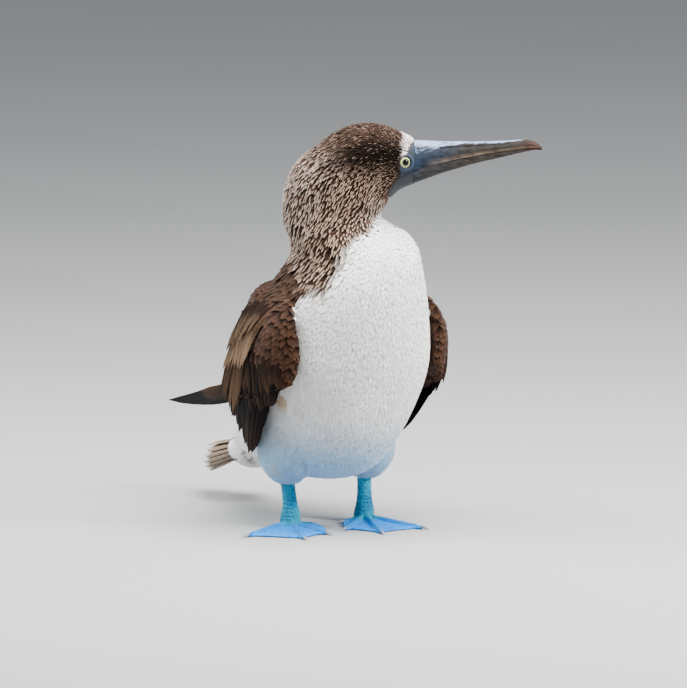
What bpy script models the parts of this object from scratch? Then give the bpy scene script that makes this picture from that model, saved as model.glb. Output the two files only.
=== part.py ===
"""A life-size blue-footed booby, standing with its head turned to its left.

The bird faces -Y, with its right side towards -X and the floor at z = 0. The head, neck, torso
and rump are one loft, parted by thin flat cuts. Each wing and the tail are a core with their
feathers fused to it as overlapping vanes. All lengths below are in millimetres.
"""

from collections import namedtuple

import bmesh
import bpy
import numpy as np
from mathutils.bvhtree import BVHTree

MM = 0.001
GAP = 0.3  # between nodes that touch

# Driving dimensions
HEAD_YAW = 63.0  # degrees that the head is turned to the bird's left
FACE = 74.0  # from the neck's foot to the flat face that carries the bill, along the head
BILL_TIP = 184.5  # as above, to the tip of the bill: about 110 in front of the forehead
HEAD_OFFSET = -10.5  # of the head's middle plane from the origin, across the head
EYE_RADIUS = 7.5
EYE_ALONG = 63.6  # the eye's centre, along, across and above
EYE_ACROSS = 10.4
EYE_HEIGHT = 321.5
EYE_YAW = 24.0  # degrees that each eye looks forward of sideways
LID_SHAPE = ((4.9, 4.2), (8.8, 3.4), (8.3, 6.3), (6.6, 7.3), (5.0, 7.1))  # reach and height
LID_SIDES = 16
LEG_SPREAD = 36.0  # half the distance between the ankles
ANKLE_Y = 3.0
THIGH_FOOT = 41.0  # height at which the feathered thigh ends and the bare leg begins
ANKLE_TOP = 13.0  # height at which the leg meets the foot
TAIL_CUT = 1.6  # stations along BODY at which the trunk is parted
NECK_CUT = 9.0
HEAD_CUT = 12.2
# The corner of the mouth, as places along the head and heights from the bill's base backwards
GAPE = ((FACE + 2, 314.2), (FACE - 3, 312.2), (FACE - 8, 309.3), (FACE - 12.5, 305.6))
GAPE_DEPTH = 2.0
GAPE_HALF_HEIGHT = 1.5
CHEEK_REACH = 60.0  # a distance across the head that lies outside it
BODY_SIDES = 26
TRUNK_RINGS = 2  # between neighbouring stations
NECK_RINGS = 3

# One cross-section of the body: its centre, the direction of the spine there as pitch above the
# level and yaw to the bird's left, in degrees, its half width, belly depth and back depth, and how
# much squarer than an oval its belly is.
Section = namedtuple("Section", "x y z pitch yaw half_width belly back fullness")
BODY = (
    Section(0, 150, 58, 13, 0, 17, 11, 10, 0.0),
    Section(0, 128, 64, 15, 0, 26, 20, 17, 0.0),
    Section(0, 101, 74, 20, 0, 38, 32, 27, 0.05),
    Section(0, 70, 88, 32, 0, 50, 50, 40, 0.1),
    Section(0, 38, 107, 46, 0, 58, 88, 61, 0.06),
    Section(0, 9, 130, 59, 0, 65, 96, 72, 0.04),
    Section(0, -15, 160, 72, 0, 73, 90, 78, 0.04),
    Section(0, -28, 190, 84, 0, 70, 85, 78, 0.0),
    Section(2, -32, 217, 91, 4, 61, 80, 74, 0.0),
    Section(7, -28, 240, 94, 10, 50, 73, 58, 0.0),
    Section(7, -21, 255, 94, 24, 48, 55, 50, 0.0),
    Section(-0.7, -8.6, 271, 90, 50, 40, 42, 43, 0.0),
    Section(3.1, -11.7, 295, 70, 63, 34, 42, 44, 0.0),
    Section(13.7, -18.2, 313, 50, 63, 27.5, 41, 36.5, 0.0),
    Section(28.2, -26.2, 324.5, 32, 63, 24, 38, 32, 0.0),
    Section(42.8, -33.6, 326, 18, 63, 20.5, 31, 27.5, 0.0),
    Section(61.2, -43, 321.2, 0, 63, 13.2, 20, 18.3, 0.0),
)

# Distance along the head against: ridge of the bill, mouth line, keel of the lower mandible,
# and half the width of each mandible
Station = namedtuple("Station", "along ridge mouth keel upper_half lower_half")
BILL = (
    Station(FACE, 339.4, 314.2, 301.4, 13.2, 12.2),
    Station(84, 338.9, 317.4, 305.8, 11.6, 10.8),
    Station(97, 338.6, 320.2, 310.8, 9.8, 9.0),
    Station(112, 338.6, 323.6, 315.6, 8.2, 7.3),
    Station(128, 338.8, 326.7, 320.3, 6.8, 5.8),
    Station(145, 339.0, 329.6, 324.1, 5.6, 4.6),
    Station(159, 339.4, 331.5, 327.1, 4.7, 3.7),
    Station(170, 339.4, 332.7, 329.8, 3.9, 2.8),
    Station(178, 336.9, 333.0, 331.2, 2.7, 1.7),
    Station(BILL_TIP, 332.4, 331.6, 330.8, 0.7, 0.6),
)

GROOVE_DEPTH = 0.05  # of the groove beside the bill's ridge, as a share of half the width
GROOVE_END = BILL_TIP - 22
GROOVE_FADE = 12.0

# Half the bird's width over the wings, against distance behind the legs
WING_Y = (-78, -68, -54, -34, -8, 20, 45, 58, 70, 98, 150, 200, 283)
WING_HALF = (70, 81, 87, 88, 85, 77, 66, 61, 58, 50, 38, 29, 18)
# The share of that width left at each height, at the wing's front and at its rear
WING_Z = (62, 78, 100, 125, 145, 165, 185, 200, 210, 222)
FRONT_SHARE = (0.70, 0.74, 0.81, 0.91, 0.97, 1.0, 0.95, 0.83, 0.73, 0.60)
REAR_SHARE = (0.92, 0.97, 1.03, 1.03, 0.99, 0.96, 0.90, 0.82, 0.74, 0.62)
SHARE_SPAN = (-60.0, 60.0)

# One slice of a wing's core: place, lowest and highest point, and thickness out and in
Slice = namedtuple("Slice", "y low high out into")
WING_CORE = (
    Slice(-75, 150, 174, 1.0, 8),
    Slice(-70, 134, 190, 1.2, 13),
    Slice(-54, 122, 203, 1.2, 18),
    Slice(-30, 114, 211, 1.2, 22),
    Slice(-2, 112, 212, 1.2, 22),
    Slice(26, 112, 206, 1.2, 20),
    Slice(52, 114, 186, 1.2, 14),
    Slice(74, 116, 160, 1.2, 9),
    Slice(88, 120, 141, 1.0, 5),
)
CORE_SIDES = 12
ROOT_LIFT = -1.0  # of each vane's root, inside the wing's surface

# A tier of vanes: how many, the (y, z) curves of the roots and of the tips, front to rear, half
# the width of a vane, how far its tip lies outside the wing's surface, and its bow
Tier = namedtuple("Tier", "count roots tips half_width lift bow")
WING_TIERS = (
    Tier(12, ((-50, 136), (-8, 138), (34, 142), (72, 134)),
         ((8, 77), (22, 67), (37, 70), (52, 81), (67, 91), (82, 99), (96, 106)), 8.6, 1.0, 7),
    Tier(9, ((-60, 148), (-16, 152), (30, 162), (62, 152)),
         ((-42, 107), (-22, 98), (4, 98), (32, 108), (60, 118), (84, 120)), 10.0, 3.2, 5),
    Tier(8, ((-62, 166), (-18, 174), (32, 178)),
         ((-58, 132), (-36, 122), (-6, 123), (26, 132), (58, 138)), 9.8, 4.6, 3),
    Tier(8, ((-52, 194), (-12, 205), (26, 198), (54, 173)),
         ((-52, 160), (-26, 150), (6, 148), (40, 148), (70, 139), (96, 126)), 9.4, 5.6, 3),
)
PRIMARIES = 7
PRIMARY_ROOT = (-6.0, 134.0)
PRIMARY_BEND = (98.0, 105.0)  # where the first primary comes clear of the wing
PRIMARY_TIP = (281.0, 75.0)
PRIMARY_STEP = (-21.0, 4.4)  # from one primary's tip to the next
PRIMARY_RISE = 0.6  # from one primary's root to the next
PRIMARY_HALF_WIDTH = 6.6
PRIMARY_LAYER = 1.0
PRIMARY_LIFT = -9.0  # inside the wing's surface at the root, and level with it at the tip

VANE_THICKNESS = 0.5
SHAFT_THICKNESS = 0.8
VANE_ROLL = 0.11  # rise for each millimetre across, so that neighbours lie like shingles
# Places along a long quill and a short covert, and the share of the vane's width there
QUILL_SHAPE = ((0.0, 0.3, 0.62, 0.87, 1.0), (0.55, 0.9, 1.0, 0.72, 0.14))
COVERT_SHAPE = ((0.0, 0.42, 0.82, 1.0), (0.6, 1.0, 0.9, 0.3))

# The tail: fan of long quills, and a tier of coverts above and one below
TAIL_ROOT = (112.0, 66.0)
TAIL_SLOPE = 0.2
TAIL_ROOF = 0.8  # fall for each millimetre to either side, away from the rounded ridge
TAIL_RIDGE = 9.0
QUILL_LENGTHS = (115, 109, 101, 93, 84, 75)  # from the middle pair outwards
QUILL_FAN = 3.6  # degrees between neighbours
QUILL_HALF_WIDTH = 7.0
QUILL_START = 12.0
TAIL_LAYER = 1.0
COVERT_LENGTHS = (78, 71, 63)
COVERT_FAN = 6.0
COVERT_HALF_WIDTH = 7.5
COVERT_START = 8.0
COVERTS_ABOVE = 5.6
COVERTS_BELOW = -12.6

# Height, half sizes across and along the bird, and lean of the thigh, the shank and the ankle
THIGH_SHAPE = ((96, 23, 36, 1.5), (74, 24, 37, 1.5), (58, 23, 33, 1.5), (48, 18, 25, 1.5),
               (THIGH_FOOT, 9.0, 11.0, 1.5))
SHANK_SHAPE = ((THIGH_FOOT - GAP, 6.2, 7.2, 1.5), (33, 6.0, 7.0, 1.0), (24, 6.2, 7.4, 0.4),
               (17, 7.0, 8.0, 0.0), (ANKLE_TOP, 8.0, 8.8, 0.0))
ANKLE_SHAPE = ((ANKLE_TOP - GAP, 8.0, 8.8, 0.0), (9.0, 8.6, 9.6, 0.5), (5.0, 8.8, 10.4, 1.0),
               (2.0, 8.2, 10.0, 1.0), (0.0, 7.0, 8.5, 1.0))
LEG_SIDES = 14

# Each toe: its length, half its width, the height of its ridge at the root, and its claw
Toe = namedtuple("Toe", "length half_width height claw")
TOES = (
    Toe(67, 3.0, 8.0, 9.0),
    Toe(71, 3.3, 8.5, 9.5),
    Toe(53, 3.0, 7.5, 8.5),
    Toe(21, 2.6, 6.0, 6.5),
)
# The toes' angles to the way ahead, from the outer toe to the hind one, outwards in degrees
TOE_ANGLES = {"right": (60.0, 17.0, -9.0, -74.0), "left": (21.0, -15.0, -45.0, -84.0)}
WEB_THICKNESS = 1.3
WEB_CLEARANCE = 0.5  # of the web's underside from the floor
WEB_SCALLOP = 0.1  # share of the toes' length by which the web's edge is hollowed
WEB_RISE = 5.0  # of the web where it meets the ankle
TOE_TIP_HEIGHT = 3.1
TOE_SHARES = (0.08, 0.25, 0.45, 0.65, 0.85, 1.0)  # places along a toe
# Share of a claw's length, half its width there, and the heights of its underside and its top
CLAW_SHAPE = ((0, 1.5, 0.8, 3.4), (0.35, 1.3, 1.0, 3.3), (0.7, 0.9, 0.8, 2.5),
              (1.0, 0.25, 0.5, 0.9))

COLOURS = {
    "plumage_brown": ((0.055, 0.030, 0.020, 1), 0.75),
    "plumage_white": ((0.80, 0.80, 0.78, 1), 0.85),
    "head_streaked": ((0.22, 0.15, 0.11, 1), 0.85),
    "bill_grey": ((0.20, 0.24, 0.31, 1), 0.45),
    "foot_blue": ((0.03, 0.38, 0.62, 1), 0.5),
    "eye_yellow": ((0.75, 0.72, 0.32, 1), 0.1),
    "claw_grey": ((0.35, 0.35, 0.34, 1), 0.4),
}


def clear_scene():
    for obj in list(bpy.data.objects):
        bpy.data.objects.remove(obj)


def make_materials():
    made = {}
    for name, (colour, roughness) in COLOURS.items():
        material = bpy.data.materials.new(name)
        material.use_nodes = True
        shader = material.node_tree.nodes["Principled BSDF"]
        shader.inputs["Base Color"].default_value = colour
        shader.inputs["Roughness"].default_value = roughness
        shader.inputs["Metallic"].default_value = 0.0
        material.diffuse_color = colour
        made[name] = material
    return made


def curve_through(knots, values, at):
    """The smooth curve through the given points, read at one place."""
    knots = np.asarray(knots, float)
    values = np.asarray(values, float)
    slopes = np.gradient(values, knots, axis=0)
    i = int(np.clip(np.searchsorted(knots, at, side="right") - 1, 0, len(knots) - 2))
    span = knots[i + 1] - knots[i]
    t = np.clip((at - knots[i]) / span, 0.0, 1.0)
    start = (1 + 2 * t) * (1 - t) ** 2 * values[i] + t * (1 - t) ** 2 * span * slopes[i]
    end = t * t * (3 - 2 * t) * values[i + 1] - t * t * (1 - t) * span * slopes[i + 1]
    return start + end


def along_points(points, share):
    """A place on the smooth curve through points, share of the way from first to last."""
    return curve_through(np.linspace(0, 1, len(points)), points, share)


def unit(vector):
    return vector / np.linalg.norm(vector)


def head_point(along, across, height):
    """A place on the head, from its distance along, across (to the head's own left) and up."""
    yaw = np.radians(HEAD_YAW)
    forward = np.array((np.sin(yaw), -np.cos(yaw), 0.0))
    left = np.array((np.cos(yaw), np.sin(yaw), 0.0))
    return forward * along + left * (across + HEAD_OFFSET) + np.array((0, 0, height))


def mesh_object(name, bm):
    """A new object in the bird's collection, closed, facing out and split into triangles."""
    bmesh.ops.triangulate(bm, faces=bm.faces)
    bmesh.ops.recalc_face_normals(bm, faces=bm.faces)
    mesh = bpy.data.meshes.new(name)
    bm.to_mesh(mesh)
    bm.free()
    obj = bpy.data.objects.new(name, mesh)
    bird.objects.link(obj)
    return obj


def loft(name, rings):
    """A closed solid through rings with the same number of points, with flat ends."""
    bm = bmesh.new()
    rows = [[bm.verts.new(point * MM) for point in ring] for ring in rings]
    for low, high in zip(rows, rows[1:]):
        for j in range(len(low)):
            k = (j + 1) % len(low)
            bm.faces.new((low[j], low[k], high[k], high[j]))
    bm.faces.new(reversed(rows[0]))
    bm.faces.new(rows[-1])
    return mesh_object(name, bm)


def body_ring(station, shift=0.0, grow=0.0):
    """The body's cross-section at a place along BODY, moved along the spine or made larger."""
    section = Section(*curve_through(range(len(BODY)), BODY, station))
    pitch, yaw = np.radians(section.pitch), np.radians(section.yaw)
    facing = np.array((np.sin(yaw), -np.cos(yaw), 0.0))
    up = np.array((0.0, 0.0, 1.0))
    spine = np.cos(pitch) * facing + np.sin(pitch) * up
    belly = np.sin(pitch) * facing - np.cos(pitch) * up
    side = np.cross(spine, belly)
    centre = np.array((section.x, section.y, section.z)) + spine * shift
    points = []
    for angle in np.linspace(0, 2 * np.pi, BODY_SIDES, endpoint=False):
        is_belly = np.cos(angle) > 0
        depth = section.belly if is_belly else section.back
        square = 1 + (section.fullness * np.sin(2 * angle) ** 2 if is_belly else 0.0)
        across = side * (section.half_width + grow) * np.sin(angle) * square
        points.append(centre + across + belly * (depth + grow) * np.cos(angle) * square)
    return points


def body_part(name, start, end, rings_between, opens=False, grow=0.0):
    """The length of the body between two stations. One that opens starts a gap further on."""
    steps = round((end - start) * rings_between)
    stations = np.linspace(start, end, steps + 1)
    rings = [body_ring(s, GAP if opens and s == start else 0.0, grow) for s in stations]
    return loft(name, rings)


def keep_largest(obj):
    """Leaves only the mesh's largest closed surface."""
    bm = bmesh.new()
    bm.from_mesh(obj.data)
    bm.verts.ensure_lookup_table()
    left = set(bm.verts)
    islands = []
    while left:
        stack = [left.pop()]
        island = set(stack)
        while stack:
            for edge in stack.pop().link_edges:
                for vert in edge.verts:
                    if vert in left:
                        left.remove(vert)
                        island.add(vert)
                        stack.append(vert)
        islands.append(island)
    islands.sort(key=len)
    for island in islands[:-1]:
        bmesh.ops.delete(bm, geom=list(island), context="VERTS")
    bmesh.ops.triangulate(bm, faces=bm.faces)
    bm.to_mesh(obj.data)
    bm.free()


def apply_boolean(obj, operation, others):
    """Joins the other objects to obj, or cuts them from it, and removes them."""
    group = bpy.data.collections.new(obj.name + "_pieces")
    bpy.context.scene.collection.children.link(group)
    for other in others:
        for owner in list(other.users_collection):
            owner.objects.unlink(other)
        group.objects.link(other)
    modifier = obj.modifiers.new(operation.lower(), "BOOLEAN")
    modifier.operation = operation
    modifier.operand_type = "COLLECTION"
    modifier.collection = group
    modifier.solver = "EXACT"
    graph = bpy.context.evaluated_depsgraph_get()
    graph.update()
    mesh = bpy.data.meshes.new_from_object(obj.evaluated_get(graph))
    obj.modifiers.clear()
    obj.data = mesh
    mesh.name = obj.name
    for other in others:
        bpy.data.objects.remove(other)
    bpy.data.collections.remove(group)
    keep_largest(obj)


def finish(obj, material, smooth_angle=40.0):
    obj.data.materials.clear()
    obj.data.materials.append(materials[material])
    obj.data.shade_smooth()
    obj.data.set_sharp_from_angle(angle=np.radians(smooth_angle))


def vane(name, centres, sides, normals, half_widths, roll=VANE_ROLL, ridge=True):
    """A feather's blade: a thin closed strip, split alike on both faces, which may carry a
    raised shaft."""
    rows = []
    for centre, side, normal, half in zip(centres, sides, normals, half_widths):
        edge = side * half + normal * roll * half
        thin = normal * VANE_THICKNESS / 2
        thick = normal * SHAFT_THICKNESS / 2
        middle = [centre + thick] if ridge else []
        under = [centre - thick] if ridge else []
        rows.append([centre - edge + thin] + middle + [centre + edge + thin]
                    + [centre + edge - thin] + under + [centre - edge - thin])
    bm = bmesh.new()
    rows = [[bm.verts.new(point * MM) for point in row] for row in rows]
    count = len(rows[0])
    for low, high in zip(rows, rows[1:]):
        for j in range(count):
            k = (j + 1) % count
            if count // 2 <= j < count - 1:
                bm.faces.new((low[k], low[j], high[k]))
                bm.faces.new((low[j], high[j], high[k]))
            else:
                bm.faces.new((low[j], low[k], high[j]))
                bm.faces.new((low[k], high[k], high[j]))
    for row in (rows[0], rows[-1]):
        for j in range(count // 2 - 1):
            bm.faces.new((row[j], row[j + 1], row[count - 2 - j], row[count - 1 - j]))
    return mesh_object(name, bm)


def wing_point(side, y, z, lift):
    """A place over the wing's surface and the way out of it. side is -1 for the right wing."""
    def half_width(at_y, at_z):
        front = curve_through(WING_Z, FRONT_SHARE, at_z)
        rear = curve_through(WING_Z, REAR_SHARE, at_z)
        share = front + (rear - front) * np.interp(at_y, SHARE_SPAN, (0, 1))
        return curve_through(WING_Y, WING_HALF, at_y) * share

    x = half_width(y, z)
    slope_y = (half_width(y + 1, z) - half_width(y - 1, z)) / 2
    slope_z = (half_width(y, z + 1) - half_width(y, z - 1)) / 2
    out = unit(np.array((side, -slope_y, -slope_z)))
    return np.array((side * x, y, z)) + out * lift, out


def wing_vane(name, side, root, bend, tip, lifts, half_width, ridge=True):
    """A vane that lies over the wing's surface, from its root past a bend to its tip."""
    path, normals = [], []
    root, bend, tip = (np.asarray(p, float) for p in (root, bend, tip))
    stations, widths = QUILL_SHAPE if ridge else COVERT_SHAPE
    for t in stations:
        y, z = (1 - t) ** 2 * root + 2 * t * (1 - t) * bend + t * t * tip
        lift = lifts[0] + (lifts[1] - lifts[0]) * np.sqrt(t)
        point, out = wing_point(side, y, z, lift)
        path.append(point)
        normals.append(out)
    tangents = np.gradient(np.array(path), axis=0)
    sides = [side * unit(np.cross(out, run)) for out, run in zip(normals, tangents)]
    widths = [half_width * share for share in widths]
    return vane(name, path, sides, normals, widths, VANE_ROLL, ridge)


def wing_core(name, side):
    """The feathered arm and hand, as slices from front to rear."""
    rings = []
    for part in WING_CORE:
        middle, reach = (part.low + part.high) / 2, (part.high - part.low) / 2
        ring = []
        for angle in np.linspace(0, 2 * np.pi, CORE_SIDES, endpoint=False):
            thickness = part.out if np.sin(angle) > 0 else part.into
            point, _ = wing_point(side, part.y, middle + reach * np.cos(angle), 0.0)
            ring.append(point + np.array((side * thickness * np.sin(angle), 0, 0)))
        rings.append(ring)
    return loft(name, rings)


def make_wing(word, side):
    """One folded wing, drooped so that its long quills hang beside the belly."""
    wing = wing_core("wing_" + word, side)
    vanes = []
    for row, tier in enumerate(WING_TIERS):
        for i in range(tier.count):
            share = i / (tier.count - 1)
            root = along_points(tier.roots, share)
            tip = along_points(tier.tips, share)
            bend = (root + tip) / 2 + np.array((-tier.bow, 0))
            lifts = (ROOT_LIFT, tier.lift)
            name = f"{word}_vane_{row}_{i}"
            ridge = row == 0
            vanes.append(wing_vane(name, side, root, bend, tip, lifts, tier.half_width, ridge))
    for i in range(PRIMARIES):
        tip = np.array(PRIMARY_TIP) + np.array(PRIMARY_STEP) * i
        through = np.array(PRIMARY_BEND) + np.array((0, PRIMARY_RISE * i))
        root = np.array(PRIMARY_ROOT) + np.array((0, PRIMARY_RISE * i))
        bend = 2 * through - (root + tip) / 2
        lifts = (PRIMARY_LIFT + PRIMARY_LAYER * i, PRIMARY_LAYER * i)
        name = f"{word}_primary_{i}"
        vanes.append(wing_vane(name, side, root, bend, tip, lifts, PRIMARY_HALF_WIDTH))
    apply_boolean(wing, "UNION", vanes)
    body = body_part("body_cutter", TAIL_CUT - 1, NECK_CUT + 1, TRUNK_RINGS, grow=GAP)
    apply_boolean(wing, "DIFFERENCE", [body])
    finish(wing, "plumage_brown", 25.0)
    return wing


def tail_point(along, x, lift):
    """A place on the tail's roof-shaped surface, along it from its root, and the way up."""
    y, z = TAIL_ROOT
    reach = np.hypot(x, TAIL_RIDGE)
    height = z - TAIL_SLOPE * along - TAIL_ROOF * (reach - TAIL_RIDGE) + lift
    return np.array((x, y + along, height)), unit(np.array((TAIL_ROOF * x / reach, TAIL_SLOPE, 1)))


def tail_vane(name, fan, start, length, half_width, lift, ridge=True):
    """A tail feather at an angle to the middle line, from start out to its length."""
    angle = np.radians(fan)
    path, ups = [], []
    stations, widths = QUILL_SHAPE if ridge else COVERT_SHAPE
    for t in stations:
        reach = start + (length - start) * t
        point, up = tail_point(reach * np.cos(angle), reach * np.sin(angle), lift)
        path.append(point)
        ups.append(up)
    tangents = np.gradient(np.array(path), axis=0)
    sides = [unit(np.cross(run, up)) for run, up in zip(tangents, ups)]
    normals = [unit(np.cross(side, run)) for side, run in zip(sides, tangents)]
    widths = [half_width * share for share in widths]
    return vane(name, path, sides, normals, widths, 0.0, ridge)


def make_tail():
    """The rump's end with the fan of quills, and its coverts above and below."""
    stations = np.linspace(TAIL_CUT, 0, 6)
    rings = [body_ring(s, -GAP if s == TAIL_CUT else 0.0) for s in stations]
    tail = loft("tail", rings)
    vanes = []
    for side, first in ((-1, 0), (1, 1)):
        for i, length in enumerate(QUILL_LENGTHS):
            fan = side * QUILL_FAN * (i + 0.5)
            lift = -TAIL_LAYER * (2 * i + first)
            name = f"quill_{first}_{i}"
            vanes.append(tail_vane(name, fan, QUILL_START, length, QUILL_HALF_WIDTH, lift))
        for i, length in enumerate(COVERT_LENGTHS):
            fan = side * COVERT_FAN * (i + 0.5)
            drop = TAIL_LAYER * (2 * i + first)
            for level in (COVERTS_ABOVE, COVERTS_BELOW):
                name = f"covert_{first}_{i}"
                sizes = (COVERT_START, length, COVERT_HALF_WIDTH)
                vanes.append(tail_vane(name, fan, *sizes, level - drop, False))
    apply_boolean(tail, "UNION", vanes)
    finish(tail, "plumage_white", 25.0)
    return tail


def ball(name, centre, radius, segments=16, rings=10):
    bm = bmesh.new()
    bmesh.ops.create_uvsphere(bm, u_segments=segments, v_segments=rings, radius=radius * MM)
    bmesh.ops.translate(bm, verts=bm.verts, vec=centre * MM)
    return mesh_object(name, bm)


def eye_axis(across):
    """The way that an eye looks. across is 1 for the bird's left eye and -1 for its right."""
    turn = np.radians(EYE_YAW)
    along = head_point(np.sin(turn), across * np.cos(turn), 0)
    return unit(along - head_point(0, 0, 0))


def eyelid(name, across):
    """A raised ring round the eye, which stands just clear of the ball."""
    centre = head_point(EYE_ALONG, across * EYE_ACROSS, EYE_HEIGHT)
    out = eye_axis(across)
    up = np.array((0.0, 0.0, 1.0))
    level = np.cross(out, up)
    rings = []
    for angle in np.linspace(0, 2 * np.pi, LID_SIDES, endpoint=False):
        way = level * np.cos(angle) + up * np.sin(angle)
        ring = []
        for reach, height in LID_SHAPE:
            ring.append(centre + way * reach + out * height)
        rings.append(ring)
    bm = bmesh.new()
    rows = [[bm.verts.new(p * MM) for p in ring] for ring in rings]
    for low, high in zip(rows, rows[1:] + rows[:1]):
        for j in range(len(low)):
            k = (j + 1) % len(low)
            bm.faces.new((low[j], low[k], high[k], high[j]))
    return mesh_object(name, bm)


def mouth_cutter(name, across, skin):
    """A thin bent blade that cuts the corner of the mouth into the cheek."""
    rings = []
    for along, height in GAPE:
        start = head_point(min(along, FACE - 1), across * CHEEK_REACH, height)
        inward = head_point(min(along, FACE - 1), 0, height) - start
        hit = skin.ray_cast(start * MM, inward)[0]
        cheek = CHEEK_REACH - np.linalg.norm(np.array(hit) / MM - start)
        inner, outer = cheek - GAPE_DEPTH, cheek + GAPE_DEPTH
        rise = GAPE_HALF_HEIGHT
        ring = []
        for lateral, step in ((inner, 0.0), (outer, -rise), (outer, rise)):
            ring.append(head_point(along, across * lateral, height + step))
        rings.append(ring)
    return loft(name, rings)


def make_head():
    """The head from the neck to the flat face that carries the bill, with lids and sockets."""
    head = body_part("head", HEAD_CUT, len(BODY) - 1, NECK_RINGS, opens=True)
    shape = bmesh.new()
    shape.from_mesh(head.data)
    skin = BVHTree.FromBMesh(shape)
    shape.free()
    apply_boolean(head, "UNION", [eyelid("lid_left", 1), eyelid("lid_right", -1)])
    cutters = []
    for across in (1, -1):
        centre = head_point(EYE_ALONG, across * EYE_ACROSS, EYE_HEIGHT)
        cutters.append(ball("socket", centre, EYE_RADIUS + GAP))
        cutters.append(mouth_cutter("gape", across, skin))
    apply_boolean(head, "DIFFERENCE", cutters)
    finish(head, "head_streaked")
    return head


def bill_ring(station, upper):
    """A cross-section of one mandible: an arch on the mouth line, with the groove beside the
    ridge on the upper one."""
    along, ridge, mouth, keel, upper_half, lower_half = station
    if upper:
        low, rise, half = mouth + GAP / 2, ridge - mouth - GAP / 2, upper_half
        groove = GROOVE_DEPTH * min(1.0, max(0.0, (GROOVE_END - along) / GROOVE_FADE))
        shape = ((1.0, 0.0), (1.02, 0.3), (0.90, 0.56), (0.74 - groove, 0.68),
                 (0.70, 0.78), (0.42, 0.95))
    else:
        low, rise, half = mouth - GAP / 2, keel - mouth + GAP / 2, lower_half
        shape = ((1.0, 0.0), (0.98, 0.35), (0.78, 0.72), (0.42, 0.95))
    right = [head_point(along, -x * half, low + z * rise) for x, z in shape]
    left = [head_point(along, x * half, low + z * rise) for x, z in reversed(shape)]
    return right + [head_point(along, 0, low + rise)] + left


def make_mandible(name, upper):
    stations = np.linspace(0, len(BILL) - 1, 2 * len(BILL) - 1)
    rings = []
    for place in stations:
        station = curve_through(range(len(BILL)), BILL, place)
        station[0] += GAP if place == 0 else 0.0
        rings.append(bill_ring(station, upper))
    mandible = loft(name, rings)
    finish(mandible, "bill_grey", 50.0)
    return mandible


def oval(centre, half_x, half_y):
    angles = np.linspace(0, 2 * np.pi, LEG_SIDES, endpoint=False)
    return [centre + np.array((half_x * np.cos(a), half_y * np.sin(a), 0)) for a in angles]


def thigh(side):
    """The feathered thigh, from inside the belly down to where the bare leg starts."""
    rings = []
    for height, half_x, half_y, lean in THIGH_SHAPE:
        centre = np.array((side * (LEG_SPREAD + lean), ANKLE_Y + 2 * lean, height))
        rings.append(oval(centre, half_x, half_y))
    return loft("thigh", rings)


def make_torso():
    torso = body_part("torso", TAIL_CUT, NECK_CUT, TRUNK_RINGS)
    apply_boolean(torso, "UNION", [thigh(-1), thigh(1)])
    finish(torso, "plumage_white")
    return torso


def make_leg(word, side):
    """The bare shank, an upright oval that flares to meet the foot."""
    rings = []
    for height, half_x, half_y, lean in SHANK_SHAPE:
        centre = np.array((side * (LEG_SPREAD + lean), ANKLE_Y + 2 * lean, height))
        rings.append(oval(centre, half_x, half_y))
    leg = loft("leg_" + word, rings)
    finish(leg, "foot_blue")
    return leg


def level_direction(side, angle):
    """The level direction at an angle to the way ahead, outwards in degrees."""
    turn = np.radians(angle)
    return np.array((side * np.sin(turn), -np.cos(turn), 0.0))


def foot_spokes(word):
    """Directions from the ankle: three for each toe and two for each web between toes."""
    spokes = []
    angles = TOE_ANGLES[word]
    for i, toe in enumerate(TOES):
        spread = np.degrees(toe.half_width / toe.length)
        for step in (1, 0, -1):
            angle = angles[i] + step * spread
            spokes.append((angle, toe.length, toe.height, step == 0, True))
        if i + 1 == len(TOES):
            break
        for share in (0.3, 0.7):
            angle = angles[i] + (angles[i + 1] - angles[i]) * share
            length = toe.length + (TOES[i + 1].length - toe.length) * share
            spokes.append((angle, length * (1 - WEB_SCALLOP), 0.0, False, False))
    return spokes


def foot_plate(word, side):
    """Toes and webs as one plate whose upper face carries a ridge along each toe."""
    centre = np.array((side * LEG_SPREAD, ANKLE_Y, 0.0))
    spokes = foot_spokes(word)
    bm = bmesh.new()
    grids = {"top": [], "sole": []}
    for angle, length, height, is_ridge, is_toe in spokes:
        way = level_direction(side, angle)
        top, sole = [], []
        for share in TOE_SHARES:
            place = centre + way * length * share
            web = WEB_CLEARANCE + WEB_THICKNESS + WEB_RISE * (1 - share) ** 3
            ridge = TOE_TIP_HEIGHT + (height - TOE_TIP_HEIGHT) * (1 - share)
            top.append(bm.verts.new((place + np.array((0, 0, ridge if is_ridge else web))) * MM))
            lift = 0.0 if is_toe else WEB_CLEARANCE
            sole.append(bm.verts.new((place + np.array((0, 0, lift))) * MM))
        grids["top"].append(top)
        grids["sole"].append(sole)
    top, sole = grids["top"], grids["sole"]
    last = len(TOE_SHARES) - 1
    for a in range(len(spokes) - 1):
        for b in range(last):
            for grid in (top, sole):
                bm.faces.new((grid[a][b], grid[a + 1][b], grid[a + 1][b + 1], grid[a][b + 1]))
        for b in (0, last):
            bm.faces.new((top[a][b], top[a + 1][b], sole[a + 1][b], sole[a][b]))
    for a in (0, len(spokes) - 1):
        for b in range(last):
            bm.faces.new((top[a][b], top[a][b + 1], sole[a][b + 1], sole[a][b]))
    return mesh_object("foot_" + word, bm)


def ankle(side):
    """The joint over the foot, flat where the leg stands on it and flat where it rests."""
    rings = []
    for height, half_x, half_y, back in ANKLE_SHAPE:
        centre = np.array((side * LEG_SPREAD, ANKLE_Y + back, height))
        rings.append(oval(centre, half_x, half_y))
    return loft("ankle", rings)


def make_foot(word, side):
    foot = foot_plate(word, side)
    apply_boolean(foot, "UNION", [ankle(side)])
    finish(foot, "foot_blue", 30.0)
    return foot


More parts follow.
